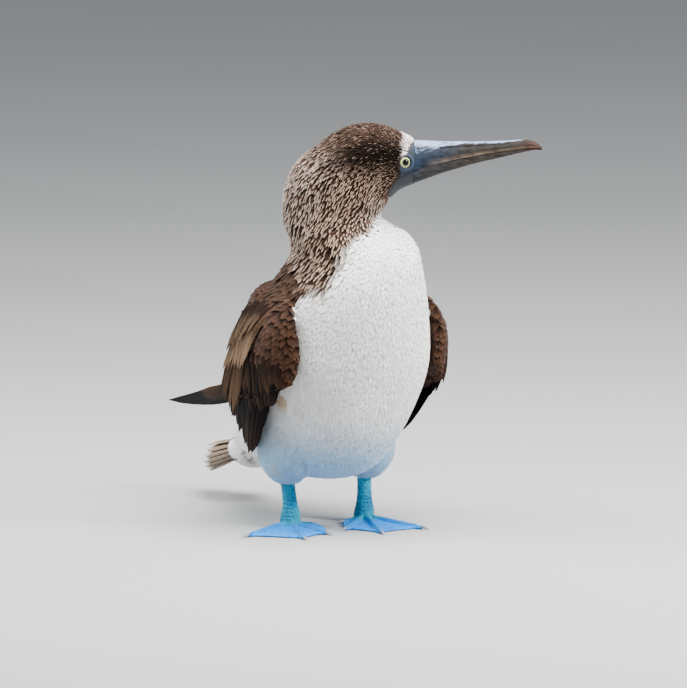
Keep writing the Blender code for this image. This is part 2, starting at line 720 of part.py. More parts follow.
def make_claw(word, side, number, toe, angle):
    """A curved claw on the end of a toe, just clear of the floor."""
    way = level_direction(side, angle)
    across = np.array((-way[1], way[0], 0.0))
    start = np.array((side * LEG_SPREAD, ANKLE_Y, 0.0)) + way * (toe.length + GAP)
    rings = []
    for share, half, low, high in CLAW_SHAPE:
        middle = start + way * toe.claw * share
        ring = []
        for angle in np.linspace(0, 2 * np.pi, 8, endpoint=False):
            rise = (low + high) / 2 + (high - low) / 2 * np.sin(angle)
            ring.append(middle + across * half * np.cos(angle) + np.array((0, 0, rise)))
        rings.append(ring)
    claw = loft(f"claw_{word}_{number}", rings)
    finish(claw, "claw_grey")
    return claw


def make_eye(word, across):
    centre = head_point(EYE_ALONG, across * EYE_ACROSS, EYE_HEIGHT)
    eye = ball("eye_" + word, centre, EYE_RADIUS)
    finish(eye, "eye_yellow", 80.0)
    return eye


def centre_on_origin(objects):
    """Moves the whole bird so that the middle of its box stands over the origin."""
    corners = np.array([v.co for obj in objects for v in obj.data.vertices])
    shift = -(corners.min(axis=0) + corners.max(axis=0)) / 2
    for obj in objects:
        moved = np.array([v.co for v in obj.data.vertices]) + (shift[0], shift[1], 0.0)
        obj.data.vertices.foreach_set("co", moved.astype(np.float32).ravel())
        obj.data.update()


clear_scene()
materials = make_materials()
bird = bpy.data.collections.new("blue_footed_booby")
bpy.context.scene.collection.children.link(bird)

make_head()
neck = body_part("neck", NECK_CUT, HEAD_CUT, NECK_RINGS, opens=True)
finish(neck, "head_streaked")
make_torso()
make_tail()
make_mandible("bill_upper", True)
make_mandible("bill_lower", False)
for side_word, side_sign in (("right", -1), ("left", 1)):
    make_eye(side_word, side_sign)
    make_wing(side_word, side_sign)
    make_leg(side_word, side_sign)
    make_foot(side_word, side_sign)
    for toe_number, toe_sizes in enumerate(TOES):
        toe_angle = TOE_ANGLES[side_word][toe_number]
        make_claw(side_word, side_sign, 4 - toe_number, toe_sizes, toe_angle)
centre_on_origin(list(bird.objects))
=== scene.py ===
from collections import namedtuple

import bmesh
import bpy
import numpy as np
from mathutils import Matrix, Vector
from mathutils.bvhtree import BVHTree
from mathutils.kdtree import KDTree


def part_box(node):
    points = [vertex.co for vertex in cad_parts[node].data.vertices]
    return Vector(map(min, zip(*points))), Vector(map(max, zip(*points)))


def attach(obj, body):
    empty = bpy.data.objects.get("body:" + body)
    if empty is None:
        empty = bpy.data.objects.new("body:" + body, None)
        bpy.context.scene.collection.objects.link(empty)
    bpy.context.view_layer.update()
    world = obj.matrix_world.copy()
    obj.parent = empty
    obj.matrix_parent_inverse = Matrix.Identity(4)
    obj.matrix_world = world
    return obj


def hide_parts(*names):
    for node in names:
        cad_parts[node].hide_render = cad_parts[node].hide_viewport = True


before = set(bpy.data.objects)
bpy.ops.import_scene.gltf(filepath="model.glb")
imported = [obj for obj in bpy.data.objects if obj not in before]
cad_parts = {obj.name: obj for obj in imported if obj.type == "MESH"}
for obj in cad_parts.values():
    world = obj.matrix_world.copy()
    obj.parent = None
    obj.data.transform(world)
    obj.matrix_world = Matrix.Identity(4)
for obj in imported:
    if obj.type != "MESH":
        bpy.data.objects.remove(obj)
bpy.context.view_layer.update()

# The body's outline, as it shows over the coat. The real bird's is the plumage of head, neck and
# trunk, laid smoothly back from the bill to the tail. It is worked out here as cross-sections
# along the spine, in millimetres from the floor midway between the ankles, with the bird facing -Y.
MM = 0.001
UP = np.array((0.0, 0.0, 1.0))
HEAD_YAW = 63.0  # degrees that the head is turned to the bird's left
HEAD_OFFSET = -10.5  # of the head's middle plane from the origin, across the head
EYE_ALONG, EYE_ACROSS, EYE_HEIGHT = 63.6, 10.4, 321.5  # the eye's centre on the head
# One cross-section of the body to a row, from the tail to the face: its centre x, y, z, the
# direction of the spine there as pitch above the level and yaw to the bird's left, in degrees, its
# half width, belly depth and back depth, and how much squarer than an oval its belly is
BODY = (
    (0, 150, 58, 13, 0, 17, 11, 10, 0.0),
    (0, 128, 64, 15, 0, 26, 20, 17, 0.0),
    (0, 101, 74, 20, 0, 38, 32, 27, 0.05),
    (0, 70, 88, 32, 0, 50, 50, 40, 0.1),
    (0, 38, 107, 46, 0, 58, 88, 61, 0.06),
    (0, 9, 130, 59, 0, 65, 96, 72, 0.04),
    (0, -15, 160, 72, 0, 73, 90, 78, 0.04),
    (0, -28, 190, 84, 0, 70, 85, 78, 0.0),
    (2, -32, 217, 91, 4, 61, 80, 74, 0.0),
    (7, -28, 240, 94, 10, 50, 73, 58, 0.0),
    (7, -21, 255, 94, 24, 48, 55, 50, 0.0),
    (-0.7, -8.6, 271, 90, 50, 40, 42, 43, 0.0),
    (3.1, -11.7, 295, 70, 63, 34, 42, 44, 0.0),
    (13.7, -18.2, 313, 50, 63, 27.5, 41, 36.5, 0.0),
    (28.2, -26.2, 324.5, 32, 63, 24, 38, 32, 0.0),
    (42.8, -33.6, 326, 18, 63, 20.5, 31, 27.5, 0.0),
    (61.2, -43, 321.2, 0, 63, 13.2, 20, 18.3, 0.0),
)
LAST = len(BODY) - 1


def curve_through(knots, values, at):
    """The smooth curve through the given points, read at one place or many."""
    knots, values, at = (np.asarray(item, float) for item in (knots, values, at))
    slopes = np.gradient(values, knots, axis=0)
    i = np.clip(np.searchsorted(knots, at, side="right") - 1, 0, len(knots) - 2)
    span = knots[i + 1] - knots[i]
    t = np.clip((at - knots[i]) / span, 0.0, 1.0)
    if values.ndim > 1:
        span, t = span[..., None], t[..., None]
    start = (1 + 2 * t) * (1 - t) ** 2 * values[i] + t * (1 - t) ** 2 * span * slopes[i]
    end = t * t * (3 - 2 * t) * values[i + 1] - t * t * (1 - t) * span * slopes[i + 1]
    return start + end


yaw_turn = np.radians(HEAD_YAW)
head_forward = np.array((np.sin(yaw_turn), -np.cos(yaw_turn), 0.0))
head_left = np.array((np.cos(yaw_turn), np.sin(yaw_turn), 0.0))


def head_point(along, across, height):
    """Places on the head, from the distance along, across (to the head's own left) and up."""
    along, across, height = np.broadcast_arrays(
        *(np.asarray(value, float)[..., None] for value in (along, across, height)))
    return along * head_forward + (across + HEAD_OFFSET) * head_left + height * UP


def head_place(points):
    """The reverse of head_point: how far along, across and up the points are."""
    return points @ head_forward, points @ head_left - HEAD_OFFSET, points[..., 2]


def body_surface(station, angle, grow=0.0, shift=0.0):
    """Places on the outline, from the station along BODY and the angle round the spine from the
    middle of the belly, moved outwards by grow and along the spine by shift."""
    station, angle = np.broadcast_arrays(np.asarray(station, float), np.asarray(angle, float))
    section = curve_through(range(len(BODY)), BODY, station)
    *_, pitch, yaw, half, belly, back, fullness = np.moveaxis(section, -1, 0)
    pitch, yaw = np.radians(pitch)[..., None], np.radians(yaw)
    facing = np.stack((np.sin(yaw), -np.cos(yaw), 0 * yaw), -1)
    spine = np.cos(pitch) * facing + np.sin(pitch) * UP
    down = np.sin(pitch) * facing - np.cos(pitch) * UP
    is_belly = np.cos(angle) > 0
    depth = np.where(is_belly, belly, back)
    square = 1 + np.where(is_belly, fullness * np.sin(2 * angle) ** 2, 0.0)
    aside = np.cross(spine, down) * ((half + grow) * np.sin(angle) * square)[..., None]
    below = down * ((depth + grow) * np.cos(angle) * square)[..., None]
    return section[..., :3] + spine * shift + aside + below


# The frame's own place: the bird there stands with its box centred over the origin.
eye_boxes = [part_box("eye_left"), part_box("eye_right")]
place = np.mean([np.array((low + high) / 2) / MM for low, high in eye_boxes], axis=0)
place = place - head_point(EYE_ALONG, 0, EYE_HEIGHT)


# The markings of skin and coat. On the real bird they are in the feathers' own pigment: streaked
# head and neck, brown mantle and back flecked with white, white underparts, blue-grey bare face.
# Painted light is mixed in as well: a bluish shade low on the belly and a pale highlight on the back
# of the upper neck.
def hex_colour(code):
    """A linear colour from an sRGB hex value."""
    value = np.array([int(code[i:i + 2], 16) / 255 for i in (1, 3, 5)])
    return np.where(value <= 0.04045, value / 12.92, ((value + 0.055) / 1.055) ** 2.4)


WHITE = hex_colour("#f6f5f1")
BELLY_SHADE_BLUE = hex_colour("#86b0d4")  # painted bluish shade on the belly's underside
DUSKY = hex_colour("#ab9b8e")  # faint smudges on the breast
NECK_PALE = hex_colour("#c0a590")
NECK_DARK = hex_colour("#20120b")
CROWN_PALE = hex_colour("#281c16")
CROWN_DARK = hex_colour("#080403")
# painted highlight: pale rim light on the back of the upper neck
NAPE_HIGHLIGHT = hex_colour("#ead3c2")
THROAT_PALE = hex_colour("#d6c8bc")
THROAT_DARK = hex_colour("#4b392f")
FOREHEAD = hex_colour("#f2e9e3")
MANTLE_PALE = hex_colour("#463226")
MANTLE_DARK = hex_colour("#21140e")
BACK_PALE = hex_colour("#6f5645")
BACK_DARK = hex_colour("#1e130e")
LESSER_DARK = hex_colour("#1c110c")
LESSER_EDGE = hex_colour("#4a3326")
FLANK_CREAM = hex_colour("#c9ad86")
FLANK = (65.5, -30, 118)  # the stained place under the folded wing's edge
UNDER_SPOT = hex_colour("#6a5542")
UNDER_SPOTS = ((17.3, 131, 46.2), (14.3, 129, 41.0))  # on either side, below the tail
# Station along BODY against the angle from the middle of the belly, in degrees, at which the
# white of the underparts ends, and below which the brown of the mantle begins
WHITE_STATIONS = (0.0, 1.6, 3.0, 5.0, 7.0, 7.45, 7.78, 8.03, 8.6, 9.4, 10.2, 10.6, 10.9, 11.4)
WHITE_ANGLES = (112, 108, 104, 100, 92, 68, 56, 48, 45, 44, 38, 17, 12, 0)
MANTLE_ANGLES = (0, 60, 70, 84, 106, 140, 180)
MANTLE_STATIONS = (7.6, 7.7, 7.9, 8.2, 8.8, 9.05, 9.1)
# Height against the distance along the head at which the feathers of the face end
FACE_HEIGHTS = (270, 288, 292, 296, 302, 306, 311, 317, 323, 328, 333, 338, 341, 346)
FACE_EDGE = (60, 54, 51, 52.5, 56, 59.5, 61.5, 61, 62.5, 66, 70, 73, 75.5, 84)
CREAM_SIZE = (15, 7)  # from the middle of a stain to where it ends, and to where it is full
SPOT_SIZE = (5.2, 1.6)


def fade(low, high, at):
    """0 below low, 1 above high and smooth between. It falls instead where low is the larger."""
    t = np.clip((np.asarray(at, float) - low) / (high - low), 0.0, 1.0)
    return t * t * (3 - 2 * t)


def blend(first, second, share):
    """Mixes two colours, or two rows of colours, by a share for each."""
    return first + (second - first) * np.asarray(share, float)[..., None]


def unit(vectors):
    return vectors / np.maximum(np.linalg.norm(vectors, axis=-1, keepdims=True), 1e-9)


def ripple(points, size, seed):
    """A smooth random field from about -1 to 1, whose swells are about size across."""
    draw = np.random.default_rng(seed)
    total = np.zeros(points.shape[:-1])
    for _ in range(9):
        way = unit(draw.normal(size=3)) * 2 * np.pi / (size * draw.uniform(1.4, 2.8))
        total += np.sin(points @ way + draw.uniform(0, 2 * np.pi))
    return total / 3.0


def bare_face(points, station):
    """1 on the bare skin of the face and 0 on the feathers."""
    along, _, height = head_place(points)
    edge = np.interp(height, FACE_HEIGHTS, FACE_EDGE)
    return fade(-0.5, 0.5, along - edge) * (station > 12)


def markings(points, station, angle):
    """The colours of a feather's tip and of its hidden base, for feathers rooted at the points, and
    how much each belongs to the white underparts, the neck and the crown."""
    from_belly = np.degrees(np.abs((angle + np.pi) % (2 * np.pi) - np.pi))
    along, _, height = head_place(points)
    wobble, fine = ripple(points, 16, 3), ripple(points, 7, 4)
    mirrored = np.abs(points * (1, 0, 0)) + points * (0, 1, 1)

    # Where each marking lies: 0 outside it and 1 inside
    limit = np.interp(station, WHITE_STATIONS, WHITE_ANGLES) + 4 * wobble
    is_white = fade(15, -7, from_belly - limit) * fade(11.6, 11.0, station)
    mantle_top = np.interp(from_belly, MANTLE_ANGLES, MANTLE_STATIONS) + 0.1 * wobble
    is_neck = fade(-0.12, 0.12, station - mantle_top)
    is_back = fade(7.6, 6.6, station + 0.2 * wobble)
    crown = fade(11.3, 12.8, station + 0.5 * fine + 0.3 * wobble) * fade(301, 325, height)
    throat = fade(62, 24, from_belly) * fade(9.8, 10.6, station) * fade(13.4, 12.4, station)
    # Painted highlight: rim light paling the back of the upper neck
    nape_highlight = 0.8 * fade(85, 140, from_belly) * fade(13.4, 12.0, station)
    forehead = fade(61, 68, along + 1.5 * fine) * fade(323, 331, height) * (station > 14)
    nape_white = fade(7.2, 8.6, station) * fade(130, 165, from_belly)
    rump_white = fade(3.4, 2.6, station) * fade(0.4, 1.2, station)
    flecks = np.maximum(nape_white, rump_white) * fade(40, 26, mirrored[..., 0])
    flecks = flecks * fade(0.1, 0.5, ripple(points, 4, 9))
    # Painted bluish shade: strongest low on the belly and towards the front
    low = fade(118, 55, height) * fade(90, 30, points[:, 1])
    smudge = fade(0.3, 1.0, fine * fade(5.5, 8.5, station) + 0.4 * wobble) * 0.65
    cream = fade(*CREAM_SIZE, np.linalg.norm(mirrored - FLANK, axis=-1))

    crown_tip = blend(CROWN_PALE * 1.3, CROWN_DARK, 0.6 * fade(316, 344, height))
    neck_tip = blend(blend(blend(NECK_PALE, crown_tip, crown), THROAT_PALE, throat), NAPE_HIGHLIGHT, nape_highlight)
    neck_base = blend(blend(NECK_DARK, CROWN_DARK, crown), THROAT_DARK,
                      np.maximum(throat, 0.5 * fade(100, 150, from_belly)))
    white_tip = blend(blend(blend(WHITE, BELLY_SHADE_BLUE, low), DUSKY, smudge), FLANK_CREAM, cream)
    tip = blend(blend(MANTLE_PALE, BACK_PALE, is_back), WHITE, flecks)
    tip = blend(blend(tip, neck_tip, is_neck), white_tip, is_white)
    base = blend(blend(MANTLE_DARK, BACK_DARK, is_back), neck_base, is_neck)
    base = blend(base, white_tip * 0.93, is_white)
    for spot in UNDER_SPOTS:
        spotted = 0.75 * fade(*SPOT_SIZE, np.linalg.norm(mirrored - spot, axis=-1))
        tip, base = blend(tip, UNDER_SPOT, spotted), blend(base, UNDER_SPOT, spotted)
    tip, base = blend(tip, FOREHEAD, forehead), blend(base, FOREHEAD * 0.8, forehead)
    return tip, base, is_white, is_neck, crown


# The skin. On the real bird it is thin and pale under the coat, bare and blue-grey on the face,
# scaly and blue on the legs and webs. It is one closed surface from the bill's root to the tail's
# and down to the toes, and it lies inside the coat's outline by the coat's depth.
SKIN_SIDES = 120
DEPTH_STATIONS, DEPTHS = (0, 8.8, 10, 12.5, 14), (3.6, 3.6, 3.0, 2.4, 1.7)  # of the coat
SOCKET_HALVES = (7.8, 7.8, 7.8)
SOCKET_TURNS = np.linspace(0.02, np.pi - 0.02, 28)
# The lid's section, as distance from the eye's axis and height above its centre
LID_SHAPE = ((4.75, 3.6), (8.9, 3.0), (8.5, 5.1), (7.9, 5.9),
             (7.0, 6.5), (6.1, 6.9), (5.4, 7.1), (4.9, 6.6))
LID_SIDES = 56
LID_SLIT = 0.03  # how much wider the lid's ring is above and below
EYE_YAW = 24.0  # degrees that each eye looks forward of sideways


def coat_depth(points, station):
    """How far the skin lies inside the outline."""
    return np.interp(station, DEPTH_STATIONS, DEPTHS) * (1 - bare_face(points, station))


def put_in_scene(name, data):
    """An object in the scene that shows a mesh, shines a lamp or holds the camera."""
    item = bpy.data.objects.new(name, data)
    bpy.context.scene.collection.objects.link(item)
    return item


def ring_faces(rings, sides, closed=False):
    """Faces of a tube whose points go ring by ring, with its ends filled or joined to each other."""
    faces = []
    for i in range(rings if closed else rings - 1):
        n = (i + 1) % rings
        for j in range(sides):
            k = (j + 1) % sides
            faces.append((i * sides + j, i * sides + k, n * sides + k, n * sides + j))
    if not closed:
        faces += [tuple(reversed(range(sides))), tuple(range((rings - 1) * sides, rings * sides))]
    return faces


def closed_piece(name, points, faces):
    """A piece from points in millimetres, with its faces turned outwards."""
    mesh = bpy.data.meshes.new(name)
    mesh.from_pydata(((points.reshape(-1, 3) + place) * MM).tolist(), [], faces)
    mesh.shade_smooth()
    shape = bmesh.new()
    shape.from_mesh(mesh)
    bmesh.ops.recalc_face_normals(shape, faces=shape.faces)
    shape.to_mesh(mesh)
    shape.free()
    return put_in_scene(name, mesh)


def tube(name, rings, closed=False):
    """A closed surface through rings of points."""
    rings = np.asarray(rings, float)
    return closed_piece(name, rings, ring_faces(*rings.shape[:2], closed))


def modify(piece, kind, **settings):
    """Adds a modifier to a piece and applies it."""
    modifier = piece.modifiers.new(kind.lower(), kind)
    for name, value in settings.items():
        setattr(modifier, name, value)
    graph = bpy.context.evaluated_depsgraph_get()
    mesh = bpy.data.meshes.new_from_object(piece.evaluated_get(graph))
    piece.modifiers.clear()
    piece.data = mesh
    mesh.name = piece.name
    mesh.shade_smooth()


def boolean(piece, operation, *others):
    """Joins other closed pieces to a piece, or cuts them from it, and removes them."""
    for other in others:
        modify(piece, "BOOLEAN", operation=operation, object=other, solver="MANIFOLD")
        bpy.data.objects.remove(other)


# Rings that lie closer together towards the head and the face
skin_stations = np.concatenate((np.arange(0, 9, 0.14), np.arange(9, 14.5, 0.06),
                                np.arange(14.5, LAST, 0.035), [LAST]))
skin_angles = np.linspace(0, 2 * np.pi, SKIN_SIDES, endpoint=False)
grid_station, grid_angle = np.meshgrid(skin_stations, skin_angles, indexing="ij")
outline = body_surface(grid_station, grid_angle)
skin_rings = body_surface(grid_station, grid_angle, grow=-coat_depth(outline, grid_station))
lip = body_surface(LAST, skin_angles[None], grow=-1.2, shift=0.5)
skin = tube("skin", np.concatenate((skin_rings, lip)))


def eye_place(across):
    """An eye's centre, the way that it looks, and the level way round it. across is 1 for the
    bird's left eye and -1 for its right."""
    turn = np.radians(EYE_YAW)
    out = unit(head_point(np.sin(turn), across * np.cos(turn), 0) - head_point(0, 0, 0))
    return head_point(EYE_ALONG, across * EYE_ACROSS, EYE_HEIGHT), out, np.cross(out, UP)


def eyelid(across):
    """The raised ring of bare skin round the eye."""
    centre, out, level = eye_place(across)
    rings = []
    for turn in np.linspace(0, 2 * np.pi, LID_SIDES, endpoint=False):
        way = level * np.cos(turn) + UP * np.sin(turn)
        stretch = 1 + LID_SLIT * np.sin(turn) ** 2
        rings.append([centre + way * (reach * stretch) + out * rise for reach, rise in LID_SHAPE])
    return tube("lid", rings, closed=True)


def oval_ring(centre, half_x, half_y, sides=48):
    turns = np.linspace(0, 2 * np.pi, sides, endpoint=False)
    return centre + np.stack((half_x * np.cos(turns), half_y * np.sin(turns), 0 * turns), -1)


def ball(centre, halves, sides, turns):
    """An oval ball from level rings at the given angles from its upper pole."""
    return tube("ball", [oval_ring(centre + UP * halves[2] * np.cos(turn), halves[0] * np.sin(turn),
                                   halves[1] * np.sin(turn), sides) for turn in turns])


boolean(skin, "UNION", eyelid(1), eyelid(-1))
boolean(skin, "DIFFERENCE", *(ball(eye_place(across)[0], SOCKET_HALVES, 40, SOCKET_TURNS)
                              for across in (1, -1)))


# The folded arms. On the real bird they are bone and muscle under a coat of small feathers, and lie
# against the flanks. They are joined to the skin, and the wing's surface passes just over them.
# Half widths of the wing's surface along the bird, and shares of them at the heights of WING_Z
WING_Y = (-78, -68, -54, -34, -8, 20, 45, 58, 70, 98, 150, 200, 283)
WING_HALF = (70, 81, 87, 88, 85, 77, 66, 61, 58, 50, 38, 29, 18)
WING_Z = (62, 78, 100, 125, 145, 165, 185, 200, 210, 222)
FRONT_SHARE = (0.70, 0.74, 0.81, 0.91, 0.97, 1.0, 0.95, 0.83, 0.73, 0.60)
REAR_SHARE = (0.92, 0.97, 1.03, 1.03, 0.99, 0.96, 0.90, 0.82, 0.74, 0.62)
SHARE_SPAN = (-60.0, 60.0)  # where along the bird the front's shares end and the rear's begin
# Slices of an arm: its place along the bird, lower and upper edges, and inward depth
ARM = ((-75, 148, 180, 8), (-70, 135, 195, 13), (-54, 128, 206, 18), (-30, 120, 211, 22),
       (-2, 115, 212, 22), (26, 112, 206, 20), (52, 114, 186, 14), (74, 116, 160, 9), (88, 120, 141, 5))
ARM_SIDES, ARM_SLICES = 40, 60
COVERT_DEPTH = 3.4  # of the skin below the coverts' surface
SIDES = {"right": -1, "left": 1}


def wing_half(y, z):
    """The folded wing's distance from the bird's middle."""
    front, rear = (curve_through(WING_Z, share, z) for share in (FRONT_SHARE, REAR_SHARE))
    share = front + (rear - front) * np.interp(y, SHARE_SPAN, (0, 1))
    return curve_through(WING_Y, WING_HALF, y) * share


def wing_point(side, y, z, lift):
    """Places over the wing's surface and the ways out of it. side is -1 for the right wing."""
    slope_y = (wing_half(y + 1, z) - wing_half(y - 1, z)) / 2
    slope_z = (wing_half(y, z + 1) - wing_half(y, z - 1)) / 2
    out = unit(np.stack((np.full_like(slope_y, side), -slope_y, -slope_z), -1))
    return np.stack((side * wing_half(y, z), y, z), -1) + out * np.asarray(lift)[..., None], out


def arm_form(side, inset):
    """The folded arm as a closed surface, inset by a depth below the wing's surface."""
    turns = np.linspace(0, 2 * np.pi, ARM_SIDES, endpoint=False)
    rings = []
    for knot in np.linspace(0, len(ARM) - 1, ARM_SLICES):
        y, low, high, into = [np.interp(knot, range(len(ARM)), row) for row in zip(*ARM)]
        y -= inset * np.interp(y, (ARM[0][0], ARM[-1][0]), (-1, 1))
        z = (low + high) / 2 + ((high - low) / 2 - inset) * np.cos(turns)
        point, _ = wing_point(side, np.full_like(z, y), z, np.full_like(z, -inset))
        point[:, 0] += side * into * np.minimum(np.sin(turns), 0)
        rings.append(point)
    return tube("arm", rings)


boolean(skin, "UNION", *(arm_form(side, COVERT_DEPTH) for side in SIDES.values()))


# The legs and feet. They are living skin over bone: short shanks, and four toes each that webs
# join right round to the hind one. Each is shaped as a shank, an ankle and a plate whose upper
# face follows the toes, fused and softened, and then joined to the skin inside the thigh.
LEG_SPREAD = 36.0  # half the distance between the ankles
ANKLE_Y = 3.0
Toe = namedtuple("Toe", "length half_width height claw")
TOES = (Toe(67, 3.0, 8.0, 9.0), Toe(71, 3.3, 8.5, 9.5), Toe(53, 3.0, 7.5, 8.5), Toe(21, 2.6, 6.0, 6.5))
# The toes' angles to the way ahead, from the outer toe to the hind one, outwards in degrees
TOE_ANGLES = {"right": (60.0, 17.0, -9.0, -74.0), "left": (21.0, -15.0, -45.0, -84.0)}
TOE_EDGES = (2.2, 6.5)  # degrees that the foot reaches past the outer and the hind toe
TOE_JOINTS = (0.40, 0.66, 0.86)  # shares of a toe's length
TOE_TIP_HEIGHT = 3.4
JOINT_SWELL, JOINT_LENGTH = 0.35, 3.2
SCUTE_SPACING, SCUTE_RELIEF = 2.3, 0.14  # the plates across a toe
WEB_THICKNESS = 1.3
WEB_CLEARANCE = 0.5  # of the web over the floor
WEB_SCALLOP = 0.1
WEB_RISE, WEB_REACH = 5.0, 70.0  # of the web where it meets the ankle, and how far that goes
FOLD_RELIEF = 0.22
FOOT_RAYS, FOOT_STEPS, FOOT_START = 230, 64, 0.06  # the first step's share of a ray
# Height, half width, half length and distance behind the ankle
ANKLE_SHAPE = ((0, 7.0, 8.5, 1.0), (2, 8.2, 10.0, 1.0), (5, 8.8, 10.4, 1.0), (9, 8.6, 9.6, 0.5),
               (13, 8.0, 8.8, 0.0), (17, 7.0, 8.0, 0.0), (24, 6.2, 7.4, 0.8), (33, 6.0, 7.0, 2.0),
               (41, 6.2, 7.2, 3.0), (60, 7.0, 8.0, 3.0))
CREASE_SPACING, CREASE_DEPTH = 2.6, 0.10  # round the shank
SHANK_RINGS, SHANK_TOP = 76, 60
# Height, half width and half length of the feathered thigh
THIGH_SHAPE = ((100, 23, 36), (74, 24, 37), (58, 23, 33), (49, 18.5, 25.5), (43, 12.5, 16), (40.5, 9.5, 11.5))
THIGH_LEAN = 1.5  # outwards, and it lies twice as far back
THIGH_COAT = 3.2  # of the thigh's flesh below its feathers
FUSE_SIZE = 0.8  # the grid on which a foot's forms are fused


def level_direction(side, angle):
    """The level direction at an angle to the way ahead, outwards in degrees."""
    turn = np.radians(angle)
    return np.stack((side * np.sin(turn), -np.cos(turn), np.zeros_like(turn)), -1)


def foot_reach(angles, toe_angles):
    """How far the foot reaches at each angle: along the toes, and in hollow edges between."""
    reach = np.zeros_like(angles)
    for toe, toe_angle in zip(TOES, toe_angles):
        off = np.clip(np.abs(angles - toe_angle) / np.degrees(toe.half_width / toe.length), 0, 1)
        tip = toe.length - toe.half_width * (1 - np.sqrt(1 - off ** 2))
        reach = np.where(off < 1, np.maximum(reach, tip), reach)
    for first, second, a, b in zip(TOES, TOES[1:], toe_angles, toe_angles[1:]):
        t = (angles - a) / (b - a)
        edge = (first.length + (second.length - first.length) * t) - 3.0
        edge *= 1 - WEB_SCALLOP * np.sin(np.pi * np.clip(t, 0, 1)) ** 0.7
        reach = np.where((t >= 0) & (t <= 1), np.maximum(reach, edge), reach)
    return reach


def foot_height(angles, distance, toe_angles):
    """The height of the foot's upper face, and how much of a toe lies under each place."""
    folds = FOLD_RELIEF * np.sin(angles * 0.9 + 2.0 * np.sin(distance / 9.0)) * fade(8, 25, distance)
    height = WEB_CLEARANCE + WEB_THICKNESS + WEB_RISE * np.clip(1 - distance / WEB_REACH, 0, 1) ** 3 + folds
    toe_share = np.zeros_like(height)
    for toe, toe_angle in zip(TOES, toe_angles):
        turn = np.radians(angles - toe_angle)
        ahead, aside = distance * np.cos(turn), distance * np.sin(turn)
        along = ahead / toe.length
        half = toe.half_width * (1.12 - 0.25 * along)
        top = TOE_TIP_HEIGHT + (toe.height - TOE_TIP_HEIGHT) * np.clip(1 - along, 0, 1)
        for joint in TOE_JOINTS:
            swell = JOINT_SWELL * np.exp(-((along - joint) * toe.length / JOINT_LENGTH) ** 2)
            half, top = half + swell, top + swell
        top = top + SCUTE_RELIEF * np.abs(np.sin(np.pi * ahead / SCUTE_SPACING))
        round_off = np.sqrt(np.clip(1 - (aside / half) ** 2, 0, 1))
        on_toe = (ahead > 0) & (ahead <= toe.length + 0.5) & (np.abs(aside) < half)
        height = np.where(on_toe, np.maximum(height, 0.8 + (top - 0.8) * round_off), height)
        toe_share = np.where(on_toe, np.maximum(toe_share, round_off), toe_share)
    return height, toe_share


def foot_plate(side, toe_angles):
    """Toes and webs as a plate over the floor, worked out in rays from the ankle."""
    angles = np.linspace(toe_angles[0] + TOE_EDGES[0], toe_angles[-1] - TOE_EDGES[1], FOOT_RAYS)
    grid, share = np.meshgrid(angles, np.linspace(FOOT_START, 1.0, FOOT_STEPS), indexing="ij")
    distance = share * foot_reach(angles, toe_angles)[:, None]
    height, toe_share = foot_height(grid, distance, toe_angles)
    base = np.array((side * LEG_SPREAD, ANKLE_Y, 0.0)) + level_direction(side, grid) * distance[..., None]
    top = base + height[..., None] * UP
    sole = base + (WEB_CLEARANCE * (1 - toe_share))[..., None] * UP
    rays, deep = grid.shape
    under = rays * deep
    faces = []
    for i in range(rays - 1):
        for j in range(deep - 1):
            a, b = i * deep + j, (i + 1) * deep + j
            faces += [(a, b, b + 1, a + 1), (under + a, under + a + 1, under + b + 1, under + b)]
        for j in (0, deep - 1):
            a, b = i * deep + j, (i + 1) * deep + j
            faces.append((a, under + a, under + b, b))
    for a in (i * deep + j for i in (0, rays - 1) for j in range(deep - 1)):
        faces.append((a, a + 1, under + a + 1, under + a))
    return closed_piece("foot_plate", np.stack((top, sole)), faces)


def shank(side):
    rings = []
    heights = [row[0] for row in ANKLE_SHAPE]
    for height in np.linspace(0, SHANK_TOP, SHANK_RINGS):
        half_x, half_y, back = curve_through(heights, [row[1:] for row in ANKLE_SHAPE], height)
        lean = np.interp(height, (17, 41), (0, 1.5))
        crease = CREASE_DEPTH * np.sin(height * 2 * np.pi / CREASE_SPACING) * fade(12, 20, height)
        centre = (side * (LEG_SPREAD + lean), ANKLE_Y + back, height)
        rings.append(oval_ring(centre, half_x + crease, half_y + crease))
    return tube("shank", rings)


def thigh(side, rows, inset):
    """A thigh from rows of THIGH_SHAPE, inset where it is under the coat."""
    centre = (side * (LEG_SPREAD + THIGH_LEAN), ANKLE_Y + 2 * THIGH_LEAN)
    return tube("thigh", [oval_ring((*centre, height), half_x - inset * fade(41, 58, height),
                                    half_y - inset * fade(41, 58, height))
                          for height, half_x, half_y in rows][::-1])


def fuse(piece, grid, rounds):
    """Turns joined forms into one even surface, softened a little."""
    modify(piece, "REMESH", mode="VOXEL", voxel_size=grid * MM)
    modify(piece, "SMOOTH", iterations=rounds)


for word, side in SIDES.items():
    leg = shank(side)
    boolean(leg, "UNION", foot_plate(side, TOE_ANGLES[word]))
    fuse(leg, FUSE_SIZE, 2)
    boolean(skin, "UNION", thigh(side, THIGH_SHAPE[:-1], THIGH_COAT), leg)


